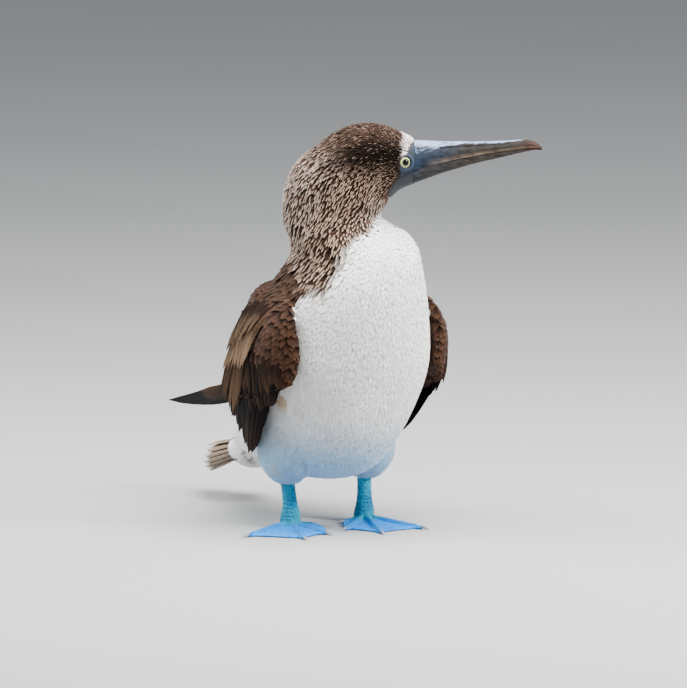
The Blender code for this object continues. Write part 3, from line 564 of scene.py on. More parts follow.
# The skin's surface: living skin moulded in small horny scales on shanks and webs, plain on the
# face. Its markings go on point by point, since scales, webs and bare face grade into each other.
LEG_BLUE = hex_colour("#007aa2")
LEG_LIGHT = hex_colour("#06a4c0")
TOE_BLUE = hex_colour("#0084d6")
WEB_BLUE = hex_colour("#0490f4")
FACE_BLUE = hex_colour("#16212f")
LID_BLUE = hex_colour("#2b3b49")
FACE_DARK = hex_colour("#0a1018")
THROAT_BLUE = hex_colour("#23262a")
GAPE_START, GAPE_LENGTH, GAPE_HEIGHT, GAPE_FALL = 61.0, 13.0, 307.4, 6.8
ARM_FOOT = 106.0  # height between thighs and arms
SCALE_SPACING = 2.3  # of real scales about 1.6 mm apart, drawn coarser so that they show
FOLD_SPACING = 3.4  # of the creases before the ankle
WAVE = 0.314  # scale of a wave pattern whose bands are one unit apart


def point_tree(points):
    tree = KDTree(len(points))
    for number, point in enumerate(points):
        tree.insert(point, number)
    tree.balance()
    return tree


flat_outline = outline.reshape(-1, 3)
outline_tree = point_tree(flat_outline)
trunk_tree = BVHTree.FromPolygons(flat_outline.tolist(), ring_faces(*outline.shape[:2]))


def trunk_places(points):
    """The number, station and angle of the outline's place nearest to each point, and how far
    the point is from the trunk."""
    number = np.array([outline_tree.find(point)[1] for point in points])
    far = np.array([trunk_tree.find_nearest(point)[3] for point in points])
    return number, grid_station.ravel()[number], grid_angle.ravel()[number], far


def read_rows(items, name, kind=np.float32):
    """Three numbers for each of a mesh's points or triangles."""
    flat = np.empty(len(items) * 3, kind)
    items.foreach_get(name, flat)
    return flat.reshape(-1, 3)


def corner_points(piece):
    """A mesh's points in millimetres in the bird's own frame."""
    return read_rows(piece.data.vertices, "co").astype(float) / MM - place


def foot_places(points):
    """For each point, its distance from its own ankle and the share of toe there."""
    distance, toe = np.zeros((2, len(points)))
    for word, side in SIDES.items():
        mine = points[:, 0] * side > 0
        off = points[mine] - np.array((side * LEG_SPREAD, ANKLE_Y, 0))
        distance[mine] = np.hypot(off[:, 0], off[:, 1])
        turn = np.degrees(np.arctan2(side * off[:, 0], -off[:, 1]))
        toe[mine] = foot_height(turn, distance[mine], TOE_ANGLES[word])[1]
    return distance, toe


FIELDS = {"FLOAT": "value", "FLOAT_VECTOR": "vector", "FLOAT_COLOR": "color"}


def mark(piece, name, values, kind="FLOAT_COLOR"):
    """Gives each of a mesh's points a colour, a number or three numbers."""
    layers = piece.data.attributes
    if kind == "FLOAT_COLOR":
        layers, values = piece.data.color_attributes, np.insert(values, 3, 1.0, axis=-1)
    layer = layers.new(name, kind, "POINT")
    layer.data.foreach_set(FIELDS[kind], np.asarray(values, np.float32).ravel())


skin_points = corner_points(skin)
_, skin_station, skin_angle, beyond = trunk_places(skin_points)
is_arm = fade(0.5, 1.5, beyond) * (skin_points[:, 2] > ARM_FOOT)
_, base_colour, *_ = markings(skin_points, skin_station, skin_angle)
along, _, height = head_place(skin_points)
gape_share = np.clip((along - GAPE_START) / GAPE_LENGTH, 0, 1)
gape_far = np.hypot(height - (GAPE_HEIGHT + GAPE_FALL * gape_share), np.maximum(GAPE_START - along, 0))
eye_far = np.hypot(along - EYE_ALONG - 2.5, height - EYE_HEIGHT)
lid_dark = fade(6.0, 4.9, eye_far) * 0.9 + 0.35 * fade(3, 0, abs(eye_far - 9.4))
face_colour = blend(FACE_BLUE, THROAT_BLUE, fade(314, 306, height))
face_colour = blend(blend(face_colour, FACE_DARK, fade(1.3, 0.5, gape_far)), FACE_DARK, lid_dark)
face_colour = blend(face_colour, LID_BLUE, 0.8 * fade(1.2, 0, abs(eye_far - 7.0)))
is_leg = fade(43, 42, height)
ankle_far, on_toe = foot_places(skin_points)
on_web = fade(13, 24, ankle_far) * (1 - fade(0.15, 0.6, on_toe)) * fade(12, 8, height)
leg_colour = blend(LEG_BLUE, LEG_LIGHT, 0.5 + 0.5 * ripple(skin_points, 14, 8))
foot_colour = blend(blend(leg_colour, TOE_BLUE, fade(12, 22, ankle_far)), WEB_BLUE, on_web)
leg_colour = blend(leg_colour, foot_colour, fade(16, 9, height))
colours = blend(base_colour, blend(LESSER_DARK, LESSER_EDGE, 0.4), is_arm)
colours = blend(colours, face_colour, bare_face(skin_points, skin_station))
mark(skin, "marking", blend(colours, leg_colour, is_leg))
mark(skin, "scaly", is_leg, "FLOAT")
mark(skin, "creased", is_leg * fade(5, 12, height) * fade(30, 20, height) * fade(16, 13, ankle_far), "FLOAT")


def set_node(node, numbered={}, **named):
    """Sets a node's properties, which are in small letters, and its sockets, by number or by name
    with _ for a space. A node or one of its outputs as the value is linked to the socket."""
    for name, value in {**named, **numbered}.items():
        if name in dir(node):
            setattr(node, name, value)
            continue
        socket = node.inputs[name.replace("_", " ") if isinstance(name, str) else name]
        value = value.outputs[0] if isinstance(value, bpy.types.Node) else value
        if isinstance(value, bpy.types.NodeSocket):
            node.id_data.links.new(value, socket)
        else:
            socket.default_value = value


def add_node(tree, kind, numbered={}, **named):
    """Adds a shader node with its settings and links."""
    node = tree.nodes.new("ShaderNode" + kind)
    set_node(node, numbered, **named)
    return node


def start_material(name, **sockets):
    """A new material, its node tree and its shader with the given sockets set."""
    material = bpy.data.materials.new(name)
    material.use_nodes = True
    shader = material.node_tree.nodes["Principled BSDF"]
    set_node(shader, **sockets)
    return material, material.node_tree, shader


def dress(piece, material, slot, *nodes):
    """Puts on a piece's material, attaches it to the root and hides the solids that it stands for. slot is
    not used.
    """
    piece.data.materials.clear()
    piece.data.materials.append(material)
    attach(piece, "root")
    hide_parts(*nodes)


# Scaly skin, moulded: a soft satin sheen over a pebbled grain. The scales of noise patterns here
# and below count the swells to a millimetre.
skin_material, tree, shader = start_material("bare_skin_scaly", Roughness=0.5, Specular_IOR_Level=0.18)
marking = add_node(tree, "Attribute", attribute_name="marking")
scaly = add_node(tree, "Attribute", attribute_name="scaly").outputs["Fac"]
where = add_node(tree, "TexCoord").outputs["Object"]
scales = add_node(tree, "TexVoronoi", feature="DISTANCE_TO_EDGE", Scale=1 / (SCALE_SPACING * MM),
                  Vector=where)
edge = add_node(tree, "MapRange", Value=scales, From_Max=0.16)
pores = add_node(tree, "TexNoise", Scale=0.7 / MM, Detail=3.0, Vector=where)
blotch = add_node(tree, "TexNoise", Scale=0.09 / MM, Detail=4.0, Vector=where)
groove = add_node(tree, "Math", {0: edge, 1: scaly}, operation="MULTIPLY")
shade = add_node(tree, "MapRange", Value=blotch, To_Min=0.72, To_Max=1.22)
line = add_node(tree, "MapRange", Value=edge, To_Min=0.5, To_Max=1.06)
line_share = add_node(tree, "Mix", {0: scaly, 2: 1.0, 3: line}, data_type="FLOAT")
both = add_node(tree, "Math", {0: shade, 1: line_share}, operation="MULTIPLY")
tint = add_node(tree, "VectorMath", {0: marking}, operation="SCALE", Scale=both)
creased = add_node(tree, "Attribute", attribute_name="creased").outputs["Fac"]
folds = add_node(tree, "TexWave", bands_direction="Z", Scale=WAVE / (FOLD_SPACING * MM), Distortion=3.0,
                 Detail=2.0, Detail_Scale=1.5, Vector=where).outputs["Fac"]
fold = add_node(tree, "Math", {0: folds, 1: creased}, operation="MULTIPLY")
deep = add_node(tree, "Math", {0: fold, 1: 1.3, 2: groove}, operation="MULTIPLY_ADD")
relief = add_node(tree, "Math", {0: pores, 1: 0.25, 2: deep}, operation="MULTIPLY_ADD")
bump = add_node(tree, "Bump", Strength=0.8, Distance=0.6 * MM, Height=relief)
set_node(shader, Base_Color=tint, Normal=bump)
dress(skin, skin_material, "foot_skin", "head", "neck", "torso", "leg_left", "leg_right", "foot_left",
      "foot_right")


# The eyes. Each is a wet ball under a clear bulging window: pale yellow iris, small black pupil,
# darker rim. Its surface is glossy, so that it catches the studio lights.
EYE_RADIUS = 7.5
PUPIL, IRIS = 3.0, 4.9  # radii
CORNEA_RISE, CORNEA_ANGLE = 0.25, 0.42
EYE_SIDES = 48
IRIS_PALE = hex_colour("#b7c192")
IRIS_DARK = hex_colour("#7f8f4a")
RIM_DARK = hex_colour("#141310")
# Clear wet cornea: a thin even gloss over the iris's fine fibres.
eye_material, tree, shader = start_material("cornea_wet_clear", Roughness=0.2, Specular_IOR_Level=0.1,
                                            Coat_Weight=0.2, Coat_Roughness=0.03)
marking = add_node(tree, "Attribute", attribute_name="marking")
where = add_node(tree, "TexCoord").outputs["Object"]
fibres = add_node(tree, "TexNoise", Scale=1.4 / MM, Detail=3.0, Vector=where)
tone = add_node(tree, "MapRange", Value=fibres, To_Min=0.78, To_Max=1.15)
tint = add_node(tree, "VectorMath", {0: marking}, operation="SCALE", Scale=tone)
set_node(shader, Base_Color=tint)
turns = np.linspace(0, 2 * np.pi, EYE_SIDES, endpoint=False)[:, None]
off = np.concatenate((np.linspace(0.01, 0.8, 44), np.linspace(0.86, np.pi - 0.01, 22)))
for word, across in (("left", 1), ("right", -1)):
    centre, out, level = eye_place(across)
    rings = [centre + (EYE_RADIUS + CORNEA_RISE * np.exp(-(angle / CORNEA_ANGLE) ** 2))
             * (np.sin(angle) * (level * np.cos(turns) + UP * np.sin(turns)) + np.cos(angle) * out)
             for angle in off]
    eye = tube("eye_" + word, rings)
    far = EYE_RADIUS * np.sin(np.minimum(np.repeat(off, EYE_SIDES), np.pi / 2))
    rays = 0.85 + 0.15 * np.cos(23 * np.tile(turns[:, 0], len(off)))
    iris = blend(IRIS_DARK, IRIS_PALE, fade(PUPIL, PUPIL + 0.7, far) * rays)
    iris = blend(iris, RIM_DARK, fade(IRIS - 0.35, IRIS + 0.1, far))
    mark(eye, "marking", blend(RIM_DARK * 0.3, iris, fade(PUPIL - 0.12, PUPIL + 0.12, far)))
    dress(eye, eye_material, "eye", "eye_" + word)


# The bill: two horn sheaths over bone, that meet along the cutting edges. Long, straight and
# pointed, with a ridge over the upper one, a groove along each side of it and a hooked tip.
BILL = (
    (71.4, 336.5, 313.6, 303.8, 11.0, 10.0), (73.0, 338.5, 313.9, 302.0, 12.3, 11.2),
    (74.6, 339.1, 314.4, 301.8, 12.7, 11.6),
    (84, 338.6, 317.4, 305.2, 11.6, 10.8), (97, 338.0, 320.2, 309.9, 9.8, 9.0),
    (112, 337.9, 323.4, 314.4, 8.2, 7.3), (128, 337.9, 326.3, 319.0, 6.8, 5.8),
    (145, 338.1, 329.0, 322.9, 5.6, 4.6), (159, 338.8, 330.9, 326.2, 4.9, 3.9),
    (170, 339.4, 332.2, 328.8, 4.2, 3.1), (178, 337.6, 332.4, 330.3, 3.2, 2.1),
    (184.5, 332.9, 331.4, 330.2, 1.1, 0.9),
)  # along the head, ridge, mouth and keel heights, half widths of the upper and lower sheaths
# A sheath's section as shares of its half width and of its height, from the mouth
UPPER_SHAPE = ((0.97, -0.02), (1.0, 0.06), (1.01, 0.30), (0.93, 0.50), (0.80, 0.63), (0.735, 0.70),
               (0.74, 0.76), (0.66, 0.86), (0.42, 0.955), (0.2, 0.99))
LOWER_SHAPE = ((0.97, -0.02), (1.0, 0.05), (0.98, 0.30), (0.90, 0.55), (0.74, 0.76), (0.46, 0.93),
               (0.2, 0.99))
GROOVE_CORNERS = slice(4, 6)  # of the upper section, where the groove runs out towards the tip
BILL_RINGS = 110
LIP_GAP = 0.4
BILL_SLATE = hex_colour("#151c27")
BILL_FLAKE_AND_HIGHLIGHT = hex_colour("#6b7a92")
BILL_SIDE = hex_colour("#1e1a17")
BILL_UNDER = hex_colour("#2b2724")
BILL_TIP = hex_colour("#331c16")
BILL_EDGE = hex_colour("#8d7a62")
# Worn horn, grown in long fibres: dull, streaked along its length, flaking pale over the ridge,
# whose top also carries a painted highlight.
bill_material, tree, shader = start_material("horn_worn_with_ridge_highlight", Roughness=0.6, Specular_IOR_Level=0.15)
marking = add_node(tree, "Attribute", attribute_name="marking")
ridge_flake_and_highlight = add_node(tree, "Attribute", attribute_name="ridge_flake_and_highlight").outputs["Fac"]
where = add_node(tree, "TexCoord").outputs["Object"]
turned = add_node(tree, "Mapping", Rotation=(0.0, 0.0, np.radians(90.0 - HEAD_YAW)),
                  Scale=(0.06 / MM, 0.42 / MM, 0.42 / MM), Vector=where)
streaks = add_node(tree, "TexNoise", Scale=1.0, Detail=4.0, Vector=turned)
blotch = add_node(tree, "TexNoise", Scale=0.13 / MM, Detail=4.0, Vector=where)
tone = add_node(tree, "MapRange", Value=streaks, From_Min=0.3, From_Max=0.7, To_Min=0.42, To_Max=1.75)
patch = add_node(tree, "MapRange", Value=blotch, To_Min=0.86, To_Max=1.12)
both = add_node(tree, "Math", {0: tone, 1: patch}, operation="MULTIPLY")
# Pale over the ridge's top: flaked horn and a painted highlight together
flake_and_highlight_level = add_node(tree, "Math", {0: streaks, 1: 1.3, 2: ridge_flake_and_highlight}, operation="MULTIPLY_ADD")
flake_and_highlight_mix = add_node(tree, "MapRange", Value=flake_and_highlight_level, From_Min=0.95, From_Max=1.35)
horn = add_node(tree, "Mix", {0: flake_and_highlight_mix, 6: marking, 7: (*BILL_FLAKE_AND_HIGHLIGHT, 1)}, data_type="RGBA").outputs[2]
tint = add_node(tree, "VectorMath", {0: horn}, operation="SCALE", Scale=both)
bump = add_node(tree, "Bump", Strength=0.5, Distance=0.3 * MM, Height=streaks)
set_node(shader, Base_Color=tint, Normal=bump)
# Each sheath: its section, the column of its edge away from the mouth and of its half widths, and
# its colours on the side, along the cutting edge and at the root
SHEATHS = {
    "bill_upper": (UPPER_SHAPE, 1, 4, BILL_SIDE, BILL_EDGE, FACE_BLUE),
    "bill_lower": (LOWER_SHAPE, 3, 5, BILL_UNDER, FACE_DARK, THROAT_BLUE),
}
for name, (shape, edge_column, half_column, side_colour, edge_colour, root_colour) in SHEATHS.items():
    upper = name == "bill_upper"
    x, z = np.array(shape).T
    z_round = np.concatenate((z, [1.0], z[::-1]))
    rings, alongs = [], []
    for knot in np.linspace(0, len(BILL) - 1, BILL_RINGS):
        row = curve_through(range(len(BILL)), BILL, knot)
        low = row[2] + (LIP_GAP / 2 if upper else -LIP_GAP / 2)
        wide = x.copy()
        if upper:
            wide[GROOVE_CORNERS] += 0.06 * fade(150, 168, row[0])
        x_round = np.concatenate((-wide, [0.0], wide[::-1])) * row[half_column]
        rings.append(head_point(row[0], x_round, low + z_round * (row[edge_column] - low)))
        alongs.append(np.full(len(z_round), row[0]))
    sheath = tube(name, rings)
    share, along = np.tile(z_round, BILL_RINGS), np.concatenate(alongs)
    colour = blend(side_colour, BILL_SLATE, fade(125, 90, along) * (1.0 if upper else 0.35))
    colour = blend(colour, BILL_TIP, fade(158, 180, along) * 0.85)
    colour = blend(colour, edge_colour, fade(0.09, 0.03, share) * fade(80, 100, along) * 0.4)
    root_share = fade(88, 75, along) * (fade(0.8, 0.6, share) if upper else 1.0)
    mark(sheath, "marking", blend(colour, root_colour, root_share))
    # The upper sheath's ridge top: pale flaked horn with a painted highlight, fading out at the hook
    reach = 0.45 + 0.35 * fade(80, 120, along)
    ridge_flake_and_highlight_share = upper * np.clip((share - reach) / (1 - reach), 0, 1) * fade(176, 158, along)
    mark(sheath, "ridge_flake_and_highlight", ridge_flake_and_highlight_share, "FLOAT")
    dress(sheath, bill_material, "bill", name)


# The claws: hollow horn caps on the toes' last bones, curved, blunt and dull grey. Each grows out
# of the end of its toe, level with the toe's way.
# Share of a claw's length, half width, lower and upper heights
CLAW_SHAPE = ((0, 1.5, 0.8, 3.4), (0.18, 1.5, 0.9, 3.55), (0.35, 1.35, 1.0, 3.4), (0.55, 1.1, 0.95, 3.0),
              (0.75, 0.8, 0.75, 2.3), (0.9, 0.5, 0.55, 1.6), (1, 0.2, 0.45, 0.85))
CLAW_SIDES, CLAW_RINGS = 16, 14
# Horn worn by rock: a dull half gloss, clouded between slate and pale grey.
claw_material, tree, shader = start_material("horn_worn_grey", Roughness=0.45, Specular_IOR_Level=0.5)
where = add_node(tree, "TexCoord").outputs["Object"]
blotch = add_node(tree, "TexNoise", Scale=0.6 / MM, Detail=4.0, Vector=where)
tone = add_node(tree, "ValToRGB", {0: blotch})
for stop, code in zip(tone.color_ramp.elements, ("#4d5660", "#a3a9ad")):
    stop.color = (*hex_colour(code), 1)
bump = add_node(tree, "Bump", Strength=0.3, Distance=0.2 * MM, Height=blotch)
set_node(shader, Base_Color=tone, Normal=bump)
turns = np.linspace(0, 2 * np.pi, CLAW_SIDES, endpoint=False)[:, None]
shares = [row[0] for row in CLAW_SHAPE]
for word, side in SIDES.items():
    for number, (toe, angle) in enumerate(zip(TOES, TOE_ANGLES[word])):
        way = level_direction(side, angle)
        aside = np.array((-way[1], way[0], 0.0))
        start = np.array((side * LEG_SPREAD, ANKLE_Y, 0.0)) + way * toe.length
        rings = []
        for share in np.linspace(0, 1, CLAW_RINGS):
            half, low, high = curve_through(shares, [row[1:] for row in CLAW_SHAPE], share)
            rings.append(start + way * toe.claw * share + aside * half * np.cos(turns)
                         + UP * ((low + high) / 2 + (high - low) / 2 * np.sin(turns)))
        name = f"claw_{word}_{len(TOES) - number}"
        dress(tube(name, rings), claw_material, "claw", name)


# How every feather is built. A real one is a stiff shaft with a thin web of barbs on each side. Here
# it is a closed blade through a few cross-sections, and its texture draws the barbs from the
# distance across and along that each point carries.
PATCH = 0.003  # side of a feather's patch in the OFBake map
TINY = 1e-6


def spread(shape, *values):
    """Values side by side for each place of a grid."""
    return np.stack([np.broadcast_to(value, shape) for value in values], -1)


def vanes(name, centres, sides, normals, halves, section, tips, bases, spots, camber, roll=0.0,
          soft=None):
    """One mesh of many feathers. centres, sides and normals hold a row of places for each
    feather from root to tip, halves its half widths there, and section the (across, rise) corners
    round its cross-section, as a share of the half width and in millimetres. camber is the fall
    of the web's edges and roll the blade's tilt, as shares of the half width. tips and bases are
    colours, spots the places of the roots in the OFBake map, and soft the normals to shade with."""
    count, stations = centres.shape[:2]
    corners = len(section)
    grid = (count, stations, corners)
    halves = np.broadcast_to(halves, grid[:2])[..., None]
    across, rise = np.array(section).T
    widest = np.maximum(halves.max(axis=1, keepdims=True), TINY)
    u = halves * across
    v = rise * np.minimum(1.0, 2 * halves / widest) + roll * u - camber * halves * across ** 2
    points = centres[:, :, None] + sides[:, :, None] * u[..., None] + normals[:, :, None] * v[..., None]
    steps = np.linalg.norm(np.diff(centres, axis=1), axis=2)
    along = np.concatenate((np.zeros((count, 1)), np.cumsum(steps, axis=1)), axis=1)
    share = along / np.maximum(along[:, -1:], TINY)

    # The faces' corners: quads along the blade and an end at root and tip, with their places in
    # the feather's patch of the map
    number = np.arange(points.size // 3).reshape(grid)
    turned = np.roll(number, -1, axis=2)
    quads = np.stack((number[:, :-1], turned[:, :-1], turned[:, 1:], number[:, 1:]), -1)
    ends = np.stack((number[:, 0, ::-1], number[:, -1]), 1)
    turn = np.arange(corners) / corners
    next_turn = turn + 1 / corners
    low, high = share[:, :-1, None], share[:, 1:, None]
    rows = ((quads, ends),
            (spread(quads.shape[:3], turn, next_turn, next_turn, turn),
             np.broadcast_to((turn[::-1], turn), ends.shape)),
            (spread(quads.shape[:3], low, low, high, high), np.broadcast_to(((0.0,), (1.0,)), ends.shape)))
    facing = np.cross(points[0, 0, 1] - points[0, 0, 0], points[0, 1, 0] - points[0, 0, 0])
    way = -1 if facing @ normals[0, 0] < 0 else 1
    loops, loop_u, loop_v = (np.concatenate((a[..., ::way].ravel(), b[..., ::way].ravel())) for a, b in rows)
    starts = np.concatenate((np.arange(0, quads.size, 4), quads.size + np.arange(2 * count) * corners))

    mesh = bpy.data.meshes.new(name)
    mesh.vertices.add(number.size)
    mesh.vertices.foreach_set("co", ((points + place) * MM).astype(np.float32).ravel())
    mesh.loops.add(len(loops))
    mesh.loops.foreach_set("vertex_index", loops.astype(np.int32))
    mesh.polygons.add(len(starts))
    mesh.polygons.foreach_set("loop_start", starts.astype(np.int32))
    mesh.update(calc_edges=True)
    mesh.shade_smooth()
    piece = put_in_scene(name, mesh)
    mark(piece, "blade", spread(grid, u, along[..., None], share[..., None]), "FLOAT_VECTOR")
    mark(piece, "edge", np.broadcast_to(np.abs(across), grid), "FLOAT")
    for layer, colours in (("tip", tips), ("base", bases)):
        mark(piece, layer, np.broadcast_to(colours[:, None, None], grid + (3,)).reshape(-1, 3))
    uv = np.stack((loop_u, loop_v), -1) * PATCH + spots[loops // (stations * corners)]
    layer = mesh.uv_layers.new(name="OFBake")
    layer.data.foreach_set("uv", uv.astype(np.float32).ravel())
    if soft is not None:
        mesh.normals_split_custom_set_from_vertices(soft.reshape(-1, 3).tolist())
    return piece


def blade_width(t, root, round_from, sharpness):
    """A feather's width at a share of its length: it widens from the root, and ends in a round
    tip (sharpness 0.5) or a pointed one (1)."""
    grown = root + (1 - root) * fade(0, 0.4, t)
    end = np.clip((t - round_from) / (1 - round_from), 0, 1)
    return grown * np.maximum(1 - end ** 2, 0.0004) ** sharpness


def plumage(name, barb, fringe, roughness, sheen, glow=0.0, worn=0.45):
    """Feather webs, drawn from their barbs: parallel threads that sweep out and back from the
    shaft, barb millimetres apart. The pale margin begins at fringe across and at worn along, as
    shares, or lies down the middle of the tip. glow is how much light passes through the web."""
    material, tree, shader = start_material(
        name, Roughness=roughness, Specular_IOR_Level=0.04, Subsurface_Weight=glow, Subsurface_Scale=3 * MM,
        Subsurface_Radius=(1.0, 1.0, 1.0), Sheen_Weight=sheen, Sheen_Roughness=0.4)
    tip, base, blade, edge = (add_node(tree, "Attribute", attribute_name=layer)
                              for layer in ("tip", "base", "blade", "edge"))
    edge = edge.outputs["Fac"]
    where = add_node(tree, "TexCoord").outputs["Object"]
    across, along, share = add_node(tree, "SeparateXYZ", {0: blade.outputs["Vector"]}).outputs
    far = add_node(tree, "Math", {0: across}, operation="ABSOLUTE")
    sweep = add_node(tree, "Math", {0: far, 1: -1.1, 2: along}, operation="MULTIPLY_ADD")
    lay = add_node(tree, "CombineXYZ", {0: sweep, 1: 0.0, 2: 0.0})
    barbs = add_node(tree, "TexWave", Scale=WAVE / barb, Distortion=1.2, Detail=2.0, Detail_Scale=1.5,
                     Vector=lay).outputs["Fac"]
    mottle = add_node(tree, "TexNoise", Scale=0.42 / MM, Detail=3.0, Vector=where)
    if fringe == "middle":
        core = add_node(tree, "MapRange", Value=edge, From_Min=0.15, From_Max=0.95, To_Min=1.0, To_Max=0.0)
        end = add_node(tree, "MapRange", Value=share, From_Min=0.58, From_Max=1.0)
        margin = add_node(tree, "Math", {0: core, 1: end}, operation="MULTIPLY")
    else:
        out = add_node(tree, "MapRange", Value=edge, From_Min=fringe, From_Max=1.0)
        end = add_node(tree, "MapRange", Value=share, From_Min=worn, From_Max=1.0, To_Max=0.9)
        reach = add_node(tree, "Math", {0: out, 1: share}, operation="MULTIPLY")
        margin = add_node(tree, "Math", {0: reach, 1: end}, operation="MAXIMUM")
    wander = add_node(tree, "Math", {0: mottle, 1: 0.5, 2: -0.25}, operation="MULTIPLY_ADD")
    pale = add_node(tree, "Math", {0: margin, 1: wander}, operation="ADD", use_clamp=True)
    mixed = add_node(tree, "Mix", {0: pale, 6: base, 7: tip}, data_type="RGBA").outputs[2]
    line = add_node(tree, "MapRange", Value=barbs, To_Min=0.84, To_Max=1.08)
    web = add_node(tree, "VectorMath", {0: mixed}, operation="SCALE", Scale=line)
    bump = add_node(tree, "Bump", Strength=0.25, Distance=0.2 * MM, Height=barbs)
    set_node(shader, Base_Color=web, Normal=bump)
    return material


# The coat. Short feathers cover the real bird's head, neck and trunk and lie back from the bill to
# the tail. They are narrow and pointed on head and neck, with pale tips on dark brown, and broad,
# rounded and soft below. Each is rooted in the skin and comes out over the ones behind it.
COAT_GRID = 1.6
# Centre and half sizes of the swellings under the mantle and under the tail
SHOULDER = ((45, 2, 190), (26, 44, 27))
UNDERTAIL = ((0, 146, 47), (20, 30, 15))
SWELLING_TURNS = np.linspace(np.pi - 0.05, 0.05, 20)
# Height against the place along the bird at which the mantle ends over the folded wing
MANTLE_EDGE_Y = (-70, -58, -20, 10, 40, 58)
MANTLE_EDGE_Z = (204, 203, 203, 198, 188, 178)
THIGH_FLOW = (0.0, 0.35, -1.0)
FLOW_STEP = 0.04  # of a station, over which the coat's direction is read
# Stations along BODY, then the feathers' lengths, half widths and spacings there
FINE_SIZES = ((8.4, 9.4, 10.4, 12, 13.4, 14.6, 15.4, 16), (15, 14.5, 13.5, 12, 9.5, 6.8, 4.8, 3.6),
              (2.6, 1.8, 1.3, 1.1, 0.92, 0.76, 0.64, 0.56), (3.3, 2.7, 2.2, 1.9, 1.6, 1.32, 1.14, 1.0))
WHITE_SIZES = ((0, 2, 5, 7, 9, 10.6), (14, 15, 15, 14, 12, 9), (3.9, 3.9, 3.7, 3.4, 2.8, 2.1),
               (3.0, 3.0, 2.8, 2.5, 2.2, 1.9))
BROWN_SIZES = ((0, 2, 6, 9), (15, 18, 20, 15), (3.6, 4.4, 4.8, 3.2), (3.4, 4.2, 4.4, 3.4))
THIGH_SIZE, ARM_SIZE, ARM_EDGE_SIZE = np.array(((11, 2.2, 2.3), (17, 5.2, 4.6), (11, 3.2, 3.0)))[..., None]
TRIES = 4.5  # roots drawn for each that the spacing leaves room for
SHORT_STATIONS = np.array((0.0, 0.3, 0.55, 0.8, 1.0))
SHORT_SECTION = ((-1, 0), (0, 0.3), (1, 0))
SEEN_STATION = 3  # of a feather, where it comes out from under the others
CLEAN_HEIGHT = 120  # above which the white is without a tint
CURL_SHARE = 0.22  # of the crown's feathers, with a pale fringe

sample_stations = np.concatenate((np.linspace(0, 9, 80, endpoint=False), np.linspace(9, LAST, 120)))
sample_angles = np.linspace(0, 2 * np.pi, 100, endpoint=False)[None]
coat = tube("coat_form", np.concatenate((body_surface(sample_stations[:, None], sample_angles),
                                         body_surface(LAST, sample_angles, shift=5.0))))
boolean(coat, "UNION", *(thigh(side, THIGH_SHAPE, 0.0) for side in SIDES.values()))
for side in SIDES.values():
    shoulder = ball(np.array(SHOULDER[0]) * (side, 1, 1), SHOULDER[1], 32, SWELLING_TURNS)
    boolean(coat, "UNION", arm_form(side, 0.0), shoulder)
boolean(coat, "UNION", ball(*UNDERTAIL, 32, SWELLING_TURNS))
fuse(coat, COAT_GRID, 4)
coat.data.calc_loop_triangles()
coat_points = corner_points(coat)
coat_normals = read_rows(coat.data.vertices, "normal").astype(float)
triangles = read_rows(coat.data.loop_triangles, "vertices", np.int32)
coat_tree = BVHTree.FromPolygons(coat_points.tolist(), triangles.tolist())
bpy.data.objects.remove(coat)
fore, aft = (body_surface(np.clip(grid_station + step, 0, LAST), grid_angle)
             for step in (FLOW_STEP, -FLOW_STEP))
flows = unit(aft - fore).reshape(-1, 3)


def coat_places(points):
    """Station, angle and flow of the coat near the points, and how far each is from the trunk."""
    number, station, angle, far = trunk_places(points)
    return station, angle, flows[number], far


def limb_shares(points, far):
    """How much the points are on a thigh, and how much on a folded arm."""
    on_thigh = fade(1.5, 4.0, far) * (points[:, 2] < ARM_FOOT) * fade(100, 80, points[:, 1])
    return on_thigh, fade(1.5, 3.5, far) * (points[:, 2] >= ARM_FOOT)


def limb_ways(ways, points, on_thigh, on_arm):
    """The coat's flow with that of thighs and arms blended in."""
    back = 0.22 + 0.45 * fade(-40, 60, points[:, 1])
    arm_way = unit(np.stack((0 * back, back, 0 * back - 1), -1))
    return blend(blend(ways, unit(np.array(THIGH_FLOW)), on_thigh), arm_way, on_arm)


def coat_sizes(points, station, angle, far):
    """Length, half width and spacing of the feathers rooted at the points."""
    _, _, is_white, is_neck, _ = markings(points, station, angle)
    fine, white, brown = (np.array([np.interp(station, knots, row) for row in rows])
                          for knots, *rows in (FINE_SIZES, WHITE_SIZES, BROWN_SIZES))
    on_thigh, on_arm = limb_shares(points, far)
    size = brown + (white - brown) * is_white
    size = size + (fine - size) * is_neck * (1 - is_white)
    size = size + (THIGH_SIZE * (1 - 0.35 * fade(60, 42, points[:, 2])) - size) * on_thigh
    return size + (ARM_SIZE + (ARM_EDGE_SIZE - ARM_SIZE) * fade(-48, -70, points[:, 1]) - size) * on_arm


def lie_flat(ways, normals):
    """Turns directions into the surface that has the normals."""
    return unit(ways - normals * (ways * normals).sum(axis=-1, keepdims=True))


# Roots are drawn all over the form, more densely where the feathers are small, and each one that
# is kept takes away the others within its spacing
draw = np.random.default_rng(5)
middles = coat_points[triangles].mean(axis=1)
edges = coat_points[triangles[:, 1:]] - coat_points[triangles[:, :1]]
areas = np.linalg.norm(np.cross(edges[:, 0], edges[:, 1]), axis=1) / 2
station, angle, _, far = coat_places(middles)
spacing = coat_sizes(middles, station, angle, far)[2]
weight = areas / spacing ** 2
wanted = int(TRIES * weight.sum())
chosen = np.searchsorted(np.cumsum(weight) / weight.sum(), draw.random(wanted))
share_a, share_b = draw.random((2, wanted, 1))
flip = share_a + share_b > 1
share_a, share_b = np.where(flip, 1 - share_a, share_a), np.where(flip, 1 - share_b, share_b)
shares = np.stack((1 - share_a - share_b, share_a, share_b), 1)
roots = (coat_points[triangles[chosen]] * shares).sum(axis=1)
root_normals = unit((coat_normals[triangles[chosen]] * shares).sum(axis=1))
tree = point_tree(roots)
